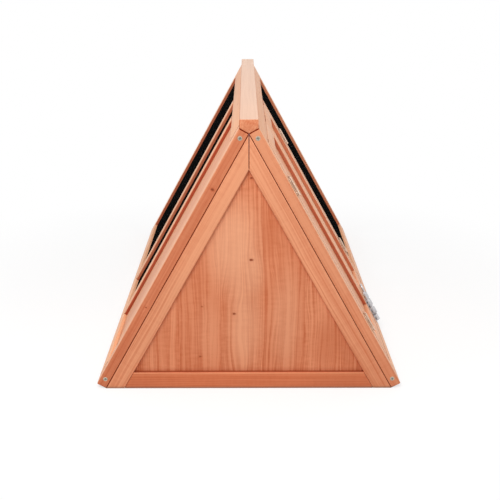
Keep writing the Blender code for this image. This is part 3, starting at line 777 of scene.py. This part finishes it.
def timber_material(node, timber, light, dark):
    """Stain and grain of one board, or of the boards of a glued panel."""
    glued = node in PANELS
    turn, centre = board_frame(node)
    number = number_of(node)
    tone = TONES.get(node, ((number * 7) % 21 - 10) / 40)
    material, tree = new_material(node + "_grain")
    mapping = {"Vector": object_place(tree), "Location": centre, "Rotation": turn.to_euler('XYZ')}
    vector = add(tree, "Mapping", mapping, vector_type='TEXTURE')[0]
    side = facing(tree, turn.col[1], 0.55, 1.0, True)
    pale, open_face = sheen_and_highlight(tree, node, timber, turn)
    seam = attribute(tree, "seam")
    knotty = knots(tree, vector, node)
    values = {
        "Vector": vector, "Seed": number * 0.37, "Spacing": timber.ring_spacing * (0.8 + (number % 9) / 20),
        "Pith": (0, 0.030 + (number % 7) * 0.006, 0.020 + (number % 5) * 0.008),
        "Light": toned(light, tone), "Dark": toned(dark, tone),
        "Drift": 0.6 if "stile" in node else 0.0, "Across Cut": facing(tree, turn.col[0], 0.80, 0.97, True),
        # Painted shade on the narrow sides
        "Side Stain": times(tree, side, SIDE_SHADES.get(node, SIDE_SHADE)), "Pooled": (*timber.pooled, 1),
        # Painted sheen, in its paler colour
        "Open Face": open_face, "Pale": pale, "Knot Colour": (*timber.knot, 1),
        "Seam": seam, "Seam Colour": (*timber.seam, 1), **BATTEN_GRAIN, **knotty,
    }
    if glued:
        boards = add_group(tree, glued_boards_group, {
            "Vector": vector, "Width": timber.board_width, "Start": GLUE_LINES.get(node, 0.0)})
        values.update(PANEL_GRAIN, Vector=boards["Vector"], Spacing=timber.ring_spacing * PANEL_SPACING)
    grain = add_group(tree, grain_group, values)
    colour = grain["Color"]
    if glued:
        paler = patches(tree, vector, SAPWOOD.get(node, []))
        darker = times(tree, boards["Tone"], times(tree, paler, -0.42, 0.42))
        darker = calc(tree, 'ADD', darker, patches(tree, vector, HEARTWOOD.get(node, [])), clamp=True)
        if knotty:
            paler = times(tree, paler, calc(tree, 'SUBTRACT', 1.0, knotty["Heart"]))
        colour = blend_colour(tree, darker, colour, toned(dark, tone))
        colour = blend_colour(tree, paler, colour, (*timber.sapwood, 1))
        colour = blend_colour(tree, times(tree, boards["Joint"], 0.2), colour, toned(dark, -1.0))
    # Dirt and painted shade in a seam or on a ledge have no gloss: as a dark metal they lose the wood's own,
    # and they get no clear coat
    fill_shader(tree, {
        "Base Color": with_painted_shade(tree, node, timber, colour), "Roughness": grain["Roughness"],
        "Metallic": seam, "Coat Weight": times(tree, seam, -0.15, 0.15), "Coat Roughness": 0.30,
        "Specular IOR Level": 0.20, "Specular Tint": (1.0, 0.45, 0.22, 1),
        "Normal": bump(tree, grain["Height"], 0.35, 0.0004)})
    return material


# Timber

def covered(trees, name, spot, reach=TOUCH):
    """Whether another timber lies within reach of this spot."""
    others = [tree for other, tree in trees.items() if other != name]
    return any(tree.find_nearest(spot, reach)[0] is not None for tree in others)


def wood_trees():
    """Search trees of the battens as the frame has them."""
    trees = {}
    for node in BATTENS:
        mesh = frame["nodes"][node].data
        corners = [corner.co.copy() for corner in mesh.vertices]
        trees[node] = BVHTree.FromPolygons(corners, [tuple(face.vertices) for face in mesh.polygons])
    return trees


def division_sides(node):
    """Places along the coop where the divisions of a side meet one of its long rails."""
    side, _, rest = node.partition("_")
    if side not in ("left", "right") or rest not in ("top_rail", "bottom_rail"):
        return []
    divisions = [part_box(other) for other in BATTENS if other.startswith(side) and "division" in other]
    return [corner.y for box in divisions for corner in box]


def distance_to_line(spot, start, end):
    nearest, share = intersect_point_line(spot, start, end)
    if not 0 <= share <= 1:
        nearest = start if share < 0 else end
    return (spot - nearest).length


def weigh_edges(piece, node, timber, trees):
    """Closes a timber's joints and weighs its edges; gives its flats, and which of its edges meet wood."""
    shape = bmesh.new()
    shape.from_mesh(piece.data)
    shape.normal_update()
    ease = SHARP_EDGES.get(node, timber.eased_edge)
    weights = shape.edges.layers.float.new("bevel_weight_edge")
    corners = [corner.co for corner in shape.verts]
    flats = [face.normal.copy() for face in shape.faces]
    outer = [face for face in shape.faces
             if max((co - face.verts[0].co).dot(face.normal) for co in corners) < IN_PLANE]
    for face in outer:
        if covered(trees, node, middle(face) + face.normal * LOOK_OUT):
            for corner in face.verts:
                corner.co += face.normal * JOINT_CLOSING
    lines = []
    for edge in shape.edges:
        if len(edge.link_faces) != 2 or not all(face in outer for face in edge.link_faces):
            continue
        first, second = edge.link_faces
        if first.normal.angle(second.normal) < LEAST_TURN:
            continue
        inward = -(first.normal + second.normal).normalized() * EDGE_LOOK_IN
        spots = [middle(edge) + inward - face.normal * (inward.dot(face.normal) - EDGE_LOOK_OUT)
                 for face in edge.link_faces]
        against = any(covered(trees, node, spot) for spot in spots)
        at_foot = all(corner.co.z < GROUND for corner in edge.verts)
        edge[weights] = (timber.seam_edge if against else FOOT_EDGE if at_foot else ease) / ease
        lines.append((edge.verts[0].co.copy(), edge.verts[1].co.copy(), against))
    shape.to_mesh(piece.data)
    shape.free()
    return flats, lines


def mark_faces(piece, node, trees, flats, lines, cuts):
    """Writes on each face the dirt and painted shade of its seam or ledge, and the painted highlight of an
    open edge that looks up.
    """
    seams, worn = [], []
    for face in piece.data.polygons:
        # A ledge that looks up takes painted shade in the seam colour
        seam = LEDGE_SHADES.get(node, 0.0) if face.normal.z > LEDGE else 0.0
        rubbed = 0.0
        if max(face.normal.dot(flat) for flat in flats) < FLAT:
            nearest = min(lines, key=lambda line: distance_to_line(face.center, line[0], line[1]))
            against = nearest[2] and (not cuts or covered(trees, node, face.center, UNDER_EDGE))
            seam = JOINT_SHADES.get(node, 1.0) if against else 0.0
            # An open edge that looks up takes a painted highlight
            rubbed = float(face.normal.z > HIGHLIGHT_UP and not against)
        seams.append(seam)
        worn.append(rubbed)
    for name, marks in (("seam", seams), ("worn", worn)):
        piece.data.attributes.new(name, 'FLOAT', 'FACE').data.foreach_set("value", marks)


def eased_copy(node, timber, trees):
    """The node's shape with its open edges planed round and its joint edges just broken."""
    piece = own_copy(frame["nodes"][node], node)
    pick(piece)
    bpy.ops.mesh.customdata_custom_splitnormals_clear()
    with editing(piece):
        bpy.ops.mesh.select_all(action='SELECT')
        bpy.ops.mesh.remove_doubles(threshold=MERGE_DISTANCE)
        bpy.ops.mesh.dissolve_limited(angle_limit=math.radians(0.5))
    flats, lines = weigh_edges(piece, node, timber, trees)
    step = piece.modifiers.new("eased", 'BEVEL')
    step.limit_method = 'WEIGHT'
    step.width = SHARP_EDGES.get(node, timber.eased_edge)
    step.segments = BEVEL_STEPS
    step.use_clamp_overlap = True
    apply_all(piece)
    cuts = division_sides(node)
    if cuts:
        with editing(piece):
            for place in cuts:
                cut_through((0, place, 0), Y)
    mark_faces(piece, node, trees, flats, lines, cuts)
    smooth(piece, degrees=28)
    return piece


class COOP_OT_timber(bpy.types.Operator):
    """Planes the battens of the sides, the doors, the ends and the ridge, and stains them"""
    bl_idname = "coop.timber"
    bl_label = "Timber"

    def execute(self, context):
        timber = context.scene.coop_timber
        trees = wood_trees()
        for node in BATTENS:
            material = timber_material(node, timber, timber.batten_light, timber.batten_dark)
            fit_out(eased_copy(node, timber, trees), node + "_timber", node, material)
        return {'FINISHED'}


class COOP_OT_panels(bpy.types.Operator):
    """Glues the boards of the solid panels and stains them"""
    bl_idname = "coop.panels"
    bl_label = "Panels"

    def execute(self, context):
        timber = context.scene.coop_timber
        for node in PANELS:
            material = timber_material(node, timber, timber.panel_light, timber.panel_dark)
            fit_out(eased_copy(node, timber, {}), node + "_boards", node, material)
        return {'FINISHED'}


# Wire

# How far the wires of one layer stand behind those of the other, as a share of their diameter
WELD = 0.94


def coating_material(wire):
    material, tree = new_material("black_coated_wire")
    film = noise(tree, object_place(tree), (350, 350, 350), 2.0)
    rubbed = noise(tree, object_place(tree), (60, 60, 60), 2.0)
    worn = times(tree, ease_range(tree, rubbed, 0.58, 0.75), 0.5)
    black = (*wire.coating, 1)
    rubbed_black = (*(value * 4 for value in wire.coating), 1)
    fill_shader(tree, {
        "Base Color": blend_colour(tree, worn, black, rubbed_black),
        "Roughness": times(tree, film, 0.25, 0.50), "Specular IOR Level": 0.03,
        "Normal": bump(tree, film, 0.3, 0.0001)})
    return material


def even_places(low, high, pitch):
    """Places of wires evenly across a bay, as near to the pitch as they fit."""
    steps = max(2, round((high - low) / pitch))
    return [low + (high - low) * (step + 0.5) / steps for step in range(steps)]


def woven_net(name, wire, runs):
    """Net of one object: each run is a start point and an end point of a wire."""
    unit = cylinder(wire.sides, wire.diameter / 2, 1.0, location=(0.5, 0, 0), rotation=(0, math.pi / 2, 0))
    shape = bmesh.new()
    for start, end in runs:
        along = end - start
        turn = along.to_track_quat('X', 'Z').to_matrix().to_4x4()
        run = unit.data.copy()
        run.transform(Matrix.Translation(start) @ turn @ Matrix.Diagonal((along.length, 1, 1, 1)))
        shape.from_mesh(run)
        bpy.data.meshes.remove(run)
    discard(unit)
    net = new_object(name, bpy.data.meshes.new(name))
    shape.to_mesh(net.data)
    shape.free()
    smooth(net, degrees=62)
    return net


def side_net_runs(node, wire):
    """Wires of a side net: those up the slope outside, those along the coop behind them."""
    up, out = slope(node)
    corners = [corner.co for corner in frame["nodes"][node].data.vertices]
    low_y, high_y = min(co.y for co in corners), max(co.y for co in corners)
    low_up, high_up = min(co.dot(up) for co in corners), max(co.dot(up) for co in corners)
    inner = min(co.dot(out) for co in corners) - CLEARANCE + wire.diameter / 2
    outer = inner + wire.diameter * WELD
    runs = []
    for y in even_places(low_y, high_y, wire.pitch):
        base = out * outer + Y * y
        runs.append((base + up * low_up, base + up * high_up))
    for height in even_places(low_up, high_up, wire.pitch):
        base = out * inner + up * height
        runs.append((base + Y * low_y, base + Y * high_y))
    return runs


def end_net_runs(node, wire):
    """Wires of the triangular net: those standing outside, those across it behind them."""
    low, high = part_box(node)
    depth = (low.y + high.y) / 2
    outer = depth + wire.diameter * WELD / 2
    inner = depth - wire.diameter * WELD / 2
    half = (high.x - low.x) / 2
    rise = high.z - low.z
    runs = []
    for x in even_places(low.x, high.x, wire.pitch):
        top = low.z + rise * (1 - abs(x) / half)
        if top - low.z > wire.pitch / 2:
            runs.append((Vector((x, outer, low.z)), Vector((x, outer, top))))
    for z in even_places(low.z, high.z, wire.pitch):
        reach = half * (1 - (z - low.z) / rise)
        if reach > wire.pitch / 4:
            runs.append((Vector((-reach, inner, z)), Vector((reach, inner, z))))
    return runs


class COOP_OT_nets(bpy.types.Operator):
    """Welds the fine wire nets of the run"""
    bl_idname = "coop.nets"
    bl_label = "Wire Nets"

    def execute(self, context):
        wire = context.scene.coop_wire
        material = coating_material(wire)
        for node in ("left_middle_net", "left_far_net", "right_far_net", "far_end_net"):
            runs = end_net_runs(node, wire) if "_end_" in node else side_net_runs(node, wire)
            fit_out(woven_net(node, wire, runs), node + "_wires", node, material)
        return {'FINISHED'}


# Metal

# Doors on the slope, from its lower near corner: pin line, way the door lies from it, middle of its bolt
DOORS = {"near_door": (0.03675, 1, 0.27297), "middle_door": (0.50875, -1, 0.31222)}
HINGE_HEIGHTS = {"lower": 0.1325, "upper": 0.448117}
DOOR_FOOT = 0.0375

# Bolts: their plates and straps, how far the rod stands below its plate and travels, and its bent handle
PLATE_FOOT = DOOR_FOOT + 0.003
PLATE_LENGTH = 0.034
STRAP_LENGTH = 0.0145
KEEPER_SPAN = (0.015, 0.035)
ROD_TAIL = 0.002
ROD_TRAVEL = 0.012
ROD_BEND = 0.005
ROD_BEND_STEPS = 8
HANDLE_REACH = 0.005

# Knuckles: how far the tongue of a leaf is rolled round the pin, and in how many steps
ROLL = math.radians(300)
ROLL_STEPS = 18

# Corners of leaves and plates, and screws: distance between two rows, and from the middle to a column
CORNER_RADIUS = 0.0022
CORNER_STEPS = 5
SCREW_ROWS = 0.0125
SCREW_COLUMN = 0.008

# Cross recess of a head, as shares of its radius and height
CROSS_ARM = 0.62
CROSS_BLADE = 0.19
CROSS_DEPTH = 0.45

# Heads: radius, height, share of it that is rounded, painted dark reflection on the head, and painted shade
# in its recess
HINGE_HEAD = (0.0022, 0.0009, 0.7, 0.15, 1.0)
BOLT_HEAD = (0.0025, 0.0018, 0.6, 1.0, 1.0)
FRAME_HEAD = (0.0043, 0.0012, 0.25, 0.0, 0.6)
HEAD_SINK = 0.00002

# Frame screws: how deep the head lies, then the neck under it and the shank
FRAME_HEAD_SINK = 0.0010
NECK_RADIUS = 0.0037
NECK_LENGTH = 0.0015
SHANK_RADIUS = 0.0019
SHANK_LENGTH = 0.0525

# Head of a hinge pin: radius, height of its rim, height of its dome, and how far the dome draws in
PIN_HEAD_RADIUS = 0.0020
PIN_RIM = 0.0005
PIN_DOME = 0.0003
PIN_TOP = 0.6


def on_slope(along, up, out=0.0):
    """Place on the right slope: along the coop from its near end, up from the foot, out from the face."""
    rise, face = slope("right")
    corner = Vector((COOP_WIDTH / 2, -COOP_LENGTH / 2, FRAME_THICKNESS * math.cos(LEAN)))
    turn = Matrix((Y, rise, face)).transposed().to_4x4()
    return Matrix.Translation(corner) @ turn @ Matrix.Translation((along, up, out))


def zinc_material(metal, part, metallic=1.0):
    """Finish of the hinges, the bolts or the frame screws."""
    material, tree = new_material(part + "_zinc")
    zinc = add_group(tree, zinc_group, {
        "Vector": object_place(tree), "Bright": (*getattr(metal, part), 1),
        "Recess": attribute(tree, "recess"), "Recess Colour": (*metal.recess, 1)})
    fill_shader(tree, {
        "Base Color": zinc["Color"], "Roughness": zinc["Roughness"], "Metallic": metallic,
        "Normal": bump(tree, zinc["Height"], 0.2, 0.0001)})
    return material


def screw_head(radius, height, rounded, head_shade, recess_shade):
    """Head with a cross recess, standing on the origin."""
    head = cylinder(28, radius, height, location=(0, 0, height / 2))
    with editing(head):
        select_where("edges", lambda edge: all(corner.co.z > height * 0.9 for corner in edge.verts))
        round_edges(height * rounded, segments=4)
    arm = radius * CROSS_ARM
    blade = radius * CROSS_BLADE
    for x, y in ((arm, blade), (blade, arm)):
        cutter = slab((0, 0, height), (x * 2, y * 2, height * CROSS_DEPTH * 2))
        step = head.modifiers.new("recess", 'BOOLEAN')
        step.operation = 'DIFFERENCE'
        step.solver = 'EXACT'
        step.object = cutter
        apply_all(head)
        discard(cutter)
    marks = head.data.attributes.new("recess", 'FLOAT', 'FACE')
    # The recess takes painted shade, the rest of the head a painted dark reflection
    for face in head.data.polygons:
        within = max(abs(face.center.x), abs(face.center.y)) < arm * 1.01
        sunk = within and MERGE_DISTANCE < face.center.z < height * 0.98
        marks.data[face.index].value = recess_shade if sunk else head_shade
    smooth(head, degrees=40)
    return head


def place_heads(head, spots, height):
    """Copies of a screw head, each turned its own way, at spots on a leaf or plate."""
    heads = []
    for index, (x, y) in enumerate(spots):
        copy = own_copy(head, "head")
        settle(copy, Matrix.Translation((x, y, height)) @ Matrix.Rotation(0.4 + 1.9 * index, 4, 'Z'))
        heads.append(copy)
    return heads


def hinge_leaf(metal, outer):
    """Leaf in sheet metal, its tongues rolled round the pin; X away from the pin, Y along it."""
    length, width, sheet = metal.leaf_length, metal.leaf_width, metal.sheet
    knuckle = metal.knuckle_radius + CLEARANCE
    leaf = slab(((knuckle + width) / 2, 0, CLEARANCE + sheet / 2), (width - knuckle, length, sheet))
    cut = length / 2 - length / 3 - (0 if outer else CLEARANCE)

    def at_corner(edge):
        return all(corner.co.x > width - AT_PLACE and abs(corner.co.y) > length / 2 - AT_PLACE
                   for corner in edge.verts)

    def at_tongue(face):
        spot = middle(face)
        at_end = abs(spot.y) > length / 6
        return spot.x < knuckle + AT_PLACE and face.normal.x < -SQUARELY and at_end == outer

    with editing(leaf):
        for place in (-cut, cut):
            cut_through((0, place, 0), Y)
        select_where("edges", at_corner)
        round_edges(CORNER_RADIUS, CORNER_STEPS)
        select_where("faces", at_tongue)
        extrude(-knuckle, 0, 0)
        bpy.ops.mesh.spin(steps=ROLL_STEPS, angle=ROLL, center=(0, 0, knuckle), axis=Y)
    mend(leaf)
    turn_out(leaf)
    smooth(leaf, degrees=35)
    return leaf


def hinge_pin(metal):
    """Pin along Y with a domed head at each end."""
    length = metal.leaf_length + 2 * CLEARANCE
    pin = cylinder(20, metal.pin_radius, length, rotation=(math.pi / 2, 0, 0))
    grow = PIN_HEAD_RADIUS / metal.pin_radius
    with editing(pin):
        for side in (-1, 1):
            select_where("faces", lambda face: face.normal.y * side > SQUARELY)
            bpy.ops.mesh.inset(thickness=0.0, depth=0.0)
            bpy.ops.transform.resize(value=(grow, 1, grow), center_override=(0, side * length / 2, 0))
            extrude(0, side * PIN_RIM, 0)
            extrude(0, side * PIN_DOME, 0)
            top = side * (length / 2 + PIN_RIM + PIN_DOME)
            bpy.ops.transform.resize(value=(PIN_TOP, 1, PIN_TOP), center_override=(0, top, 0))
    mend(pin)
    turn_out(pin)
    smooth(pin, degrees=35)
    return pin


def rod_height(metal):
    """Height of the middle of a bolt's rod above the door."""
    return metal.sheet + 3 * CLEARANCE + metal.rod_radius


def pressed_strap(metal, start, end):
    """Strap over the rod, from start to end along it, with its feet on the plate."""
    height = rod_height(metal)
    strap = cylinder(32, metal.rod_radius + CLEARANCE + metal.sheet, end - start, end_fill_type='NOTHING',
                     location=(0, (start + end) / 2, height), rotation=(math.pi / 2, 0, 0))

    def at_foot(edge):
        low = all(abs(corner.co.z - height) < IN_PLANE for corner in edge.verts)
        return low and abs(edge.verts[0].co.y - edge.verts[1].co.y) > 0.001

    with editing(strap):
        cut_through((0, 0, height), Z, clear_inner=True)
        select_where("edges", at_foot)
        extrude(0, 0, CLEARANCE + metal.sheet / 2 - height)
    mend(strap)
    wall = strap.modifiers.new("wall", 'SOLIDIFY')
    wall.thickness = metal.sheet
    top = max(strap.data.polygons, key=lambda face: face.center.z)
    wall.offset = -1 if top.normal.z > 0 else 1
    apply_all(strap)
    soften(strap, width=0.00025, segments=2, degrees=50)
    return strap


def strapped_plate(metal, length, straps):
    """Flat plate from the origin up Y, with pressed straps for the rod across its middle."""
    plate = slab((0, length / 2, CLEARANCE + metal.sheet / 2), (metal.plate_width, length, metal.sheet))
    with editing(plate):
        select_where("edges", lambda edge: abs(edge.verts[0].co.z - edge.verts[1].co.z) > metal.sheet / 2)
        round_edges(CORNER_RADIUS, CORNER_STEPS)
    join(plate, *(pressed_strap(metal, start, end) for start, end in straps))
    smooth(plate, degrees=35)
    return plate


def bolt_rod(metal, direction):
    """Rod up Y from the origin, its top bent to one side as the handle."""
    straight = ROD_TAIL + PLATE_LENGTH + ROD_TRAVEL + CLEARANCE
    rod = fresh(bpy.ops.mesh.primitive_circle_add, vertices=24, radius=metal.rod_radius, fill_type='NGON',
                location=(0, 0, 0), rotation=(math.pi / 2, 0, 0))
    with editing(rod):
        bpy.ops.mesh.select_all(action='SELECT')
        extrude(0, straight, 0)
        bpy.ops.mesh.spin(steps=ROD_BEND_STEPS, angle=math.radians(90) * direction,
                          center=(direction * ROD_BEND, straight, 0), axis=Z)
        extrude(direction * HANDLE_REACH, 0, 0)
    mend(rod)
    turn_out(rod)
    soften(rod, width=0.0006, segments=3, degrees=60)
    smooth(rod, degrees=40)
    return rod


def frame_screw():
    """Screw with its head at the origin and its shank down Z."""
    head = screw_head(*FRAME_HEAD)
    neck = fresh(bpy.ops.mesh.primitive_cone_add, vertices=28, radius1=SHANK_RADIUS, radius2=NECK_RADIUS,
                 depth=NECK_LENGTH, location=(0, 0, -NECK_LENGTH / 2))
    shank = cylinder(20, SHANK_RADIUS, SHANK_LENGTH, location=(0, 0, -NECK_LENGTH - SHANK_LENGTH / 2))
    screw = join(head, neck, shank)
    smooth(screw, degrees=40)
    return screw


def mount(pattern, node, place, material):
    """Stands a copy of a pattern in its place on the coop."""
    piece = own_copy(pattern, node)
    settle(piece, place)
    turn_out(piece)
    fit_out(piece, node + "_zinc", node, material)


class COOP_OT_hinges(bpy.types.Operator):
    """Rolls the leaves and pins of the four butt hinges, with their screws"""
    bl_idname = "coop.hinges"
    bl_label = "Hinges"

    def execute(self, context):
        metal = context.scene.coop_metal
        material = zinc_material(metal, "hinge")
        head = screw_head(*HINGE_HEAD)
        spots = [((metal.knuckle_radius + metal.leaf_width) / 2, side * SCREW_ROWS) for side in (-1, 1)]
        top = CLEARANCE + metal.sheet - HEAD_SINK
        leaves = {label: join(hinge_leaf(metal, outer), *place_heads(head, spots, top))
                  for label, outer in (("frame", True), ("door", False))}
        pin = hinge_pin(metal)
        for door, (axis, direction, _) in DOORS.items():
            for level, height in HINGE_HEIGHTS.items():
                hinge = f"{door}_{level}_hinge_"
                for label, side in (("frame", -direction), ("door", direction)):
                    place = on_slope(axis, height) @ Matrix.Diagonal((side, 1, 1, 1))
                    mount(leaves[label], hinge + label + "_leaf", place, material)
                mount(pin, hinge + "pin", on_slope(axis, height, metal.knuckle_radius + CLEARANCE), material)
        discard(*leaves.values(), pin, head)
        return {'FINISHED'}


class COOP_OT_bolts(bpy.types.Operator):
    """Presses the plates and keepers of the two barrel bolts and bends their rods"""
    bl_idname = "coop.bolts"
    bl_label = "Bolts"

    def execute(self, context):
        metal = context.scene.coop_metal
        material = zinc_material(metal, "bolt", 0.6)
        head = screw_head(*BOLT_HEAD)
        top = CLEARANCE + metal.sheet - HEAD_SINK
        keeper_length = KEEPER_SPAN[1] - KEEPER_SPAN[0]
        keeper_strap = ((keeper_length - STRAP_LENGTH) / 2, (keeper_length + STRAP_LENGTH) / 2)
        plate_straps = [(0, STRAP_LENGTH), (PLATE_LENGTH - STRAP_LENGTH, PLATE_LENGTH)]
        patterns = {}
        for label, length, straps, steps in (
                ("bolt_plate", PLATE_LENGTH, plate_straps, (-1, 0, 1)),
                ("keeper", keeper_length, [keeper_strap], (0,))):
            rows = [length / 2 + step * SCREW_ROWS for step in steps]
            spots = [(side * SCREW_COLUMN, row) for side in (-1, 1) for row in rows]
            plate = strapped_plate(metal, length, straps)
            patterns[label] = join(plate, *place_heads(head, spots, top))
        for door, (_, direction, centre) in DOORS.items():
            rod = bolt_rod(metal, -direction)
            settle(rod, on_slope(centre, PLATE_FOOT - ROD_TAIL, rod_height(metal)))
            fit_out(rod, door + "_bolt_rod_zinc", door + "_bolt_rod", material)
            for label, foot in (("bolt_plate", PLATE_FOOT), ("keeper", KEEPER_SPAN[0])):
                mount(patterns[label], door + "_" + label, on_slope(centre, foot), material)
        discard(*patterns.values(), head)
        return {'FINISHED'}


class COOP_OT_screws(bpy.types.Operator):
    """Drives the countersunk screws through the end stiles"""
    bl_idname = "coop.screws"
    bl_label = "Frame Screws"

    def execute(self, context):
        material = zinc_material(context.scene.coop_metal, "screw")
        screw = frame_screw()
        for index, node in enumerate(name for name in frame["nodes"] if name.endswith("_screw")):
            low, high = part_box(node)
            near = "near" in node
            centre = Vector(((low.x + high.x) / 2, low.y if near else high.y, (low.z + high.z) / 2))
            outward = Matrix.Rotation(math.pi / 2 if near else -math.pi / 2, 4, 'X')
            sink = Matrix.Translation((0, 0, -FRAME_HEAD_SINK)) @ Matrix.Rotation(0.5 + index * 1.3, 4, 'Z')
            mount(screw, node, Matrix.Translation(centre) @ outward @ sink, material)
        discard(screw)
        return {'FINISHED'}


# Studio

# Lamps: place, what they point at, width and power
LAMPS = {
    "overhead_back": ((0.0, 1.9, 1.9), (0, 0, 0.4), 2.0, 12),
    "overhead_front": ((-0.3, -1.7, 1.9), (0, -0.45, 0.35), 1.2, 27),
    "left_side": ((-2.4, -1.0, 1.8), (0, -0.1, 0.25), 1.6, 13),
    "right_side": ((2.4, -1.0, 1.8), (0, -0.1, 0.25), 1.6, 14),
}
FLOOR_RADIUS = 30

# The floor is white to the eye, apart from this share of it round the coop, which holds the shadow
SHADOW_REACH = (1.05, 0.5)
SHADOW_SHARE = 0.4


def seen(tree):
    """Whether a ray comes from the camera, a shiny surface or a clear one."""
    light = add(tree, "LightPath")
    glossy = calc(tree, 'MAXIMUM', light["Is Camera Ray"], light["Is Glossy Ray"])
    return calc(tree, 'MAXIMUM', glossy, light["Is Transmission Ray"])


def floor_material(stage):
    material, tree = new_material("pale_floor")
    grit = noise(tree, object_place(tree), (12, 12, 12), 3.0)
    shade = blend_colour(tree, times(tree, grit, 0.04), (*stage.floor, 1), (0.5, 0.5, 0.5, 1))
    away = vector_calc(tree, 'LENGTH', object_place(tree))
    near = ease_range(tree, away, *SHADOW_REACH, 0.0, SHADOW_SHARE)
    white = grey(tree, calc(tree, 'SUBTRACT', 1.0, near))
    ray = seen(tree)
    fill_shader(tree, {
        "Base Color": blend_colour(tree, ray, shade, grey(tree, near)),
        "Emission Color": blend_colour(tree, ray, (0, 0, 0, 1), white),
        "Emission Strength": 1.0, "Roughness": 0.9, "Specular IOR Level": 0.0})
    return material


def camera_turn(stage):
    """Turn of the camera, which looks along the coop and down on it."""
    pitch, yaw, roll = stage.camera_pitch, stage.camera_yaw, stage.camera_roll
    ahead = Vector((math.sin(yaw) * math.cos(pitch), math.cos(yaw) * math.cos(pitch), -math.sin(pitch)))
    right = Vector((math.cos(yaw), -math.sin(yaw), 0))
    above = right.cross(ahead)
    leaned_right = right * math.cos(roll) + above * math.sin(roll)
    leaned_above = above * math.cos(roll) - right * math.sin(roll)
    return Matrix((leaned_right, leaned_above, -ahead)).transposed().to_4x4()


class COOP_OT_stage(bpy.types.Operator):
    """Lays the pale floor, hangs the lamps and stands the camera"""
    bl_idname = "coop.stage"
    bl_label = "Studio"

    def execute(self, context):
        stage = context.scene.coop_stage
        floor = fresh(bpy.ops.mesh.primitive_circle_add, vertices=96, radius=FLOOR_RADIUS, fill_type='NGON',
                      location=(0, 0, 0))
        floor.name = "floor"
        floor.data.materials.append(floor_material(stage))

        world = bpy.data.worlds.new("studio")
        context.scene.world = world
        world.use_nodes = True
        tree = world.node_tree
        level = add(tree, "MapRange", {"Value": seen(tree), "To Min": stage.ambient, "To Max": 1.0})[0]
        fill(tree, tree.nodes["Background"].inputs, {"Color": (1, 1, 1, 1), "Strength": level})

        for name, (place, target, size, power) in LAMPS.items():
            lamp = bpy.data.lights.new(name, 'AREA')
            lamp.shape = 'DISK'
            lamp.size = size
            lamp.energy = power
            item = new_object(name, lamp)
            item.location = place
            item.rotation_euler = (Vector(target) - Vector(place)).to_track_quat('-Z', 'Y').to_euler()

        camera = bpy.data.cameras.new("camera")
        camera.lens = stage.focal_length
        camera.sensor_width = 36
        item = new_object("camera", camera)
        item.matrix_world = Matrix.Translation(stage.camera_place) @ camera_turn(stage)
        context.scene.camera = item
        context.scene.view_settings.view_transform = 'Standard'
        return {'FINISHED'}


class COOP_PT_dressing(bpy.types.Panel):
    """Buttons and settings of the coop's dressing"""
    bl_label = "Coop"
    bl_idname = "COOP_PT_dressing"
    bl_space_type = 'VIEW_3D'
    bl_region_type = 'UI'
    bl_category = "Coop"

    def draw(self, context):
        for operator in OPERATORS:
            self.layout.operator(operator.bl_idname)
        for group in SETTINGS:
            settings = getattr(context.scene, group)
            box = self.layout.box()
            for name in settings.__annotations__:
                box.prop(settings, name)


OPERATORS = (COOP_OT_timber, COOP_OT_panels, COOP_OT_nets, COOP_OT_hinges, COOP_OT_bolts,
             COOP_OT_screws, COOP_OT_stage)
SETTINGS = {"coop_timber": TimberSettings, "coop_wire": WireSettings,
            "coop_metal": MetalSettings, "coop_stage": StageSettings}


def register():
    for name, settings in SETTINGS.items():
        bpy.utils.register_class(settings)
        setattr(bpy.types.Scene, name, bpy.props.PointerProperty(type=settings))
    for operator in OPERATORS:
        bpy.utils.register_class(operator)
    bpy.utils.register_class(COOP_PT_dressing)


def unregister():
    bpy.utils.unregister_class(COOP_PT_dressing)
    for operator in reversed(OPERATORS):
        bpy.utils.unregister_class(operator)
    for name, settings in reversed(SETTINGS.items()):
        delattr(bpy.types.Scene, name)
        bpy.utils.unregister_class(settings)


def main():
    register()
    bpy.ops.coop.timber()
    bpy.ops.coop.panels()
    bpy.ops.coop.nets()
    bpy.ops.coop.hinges()
    bpy.ops.coop.bolts()
    bpy.ops.coop.screws()
    bpy.ops.coop.stage()


if __name__ == "__main__":
    main()
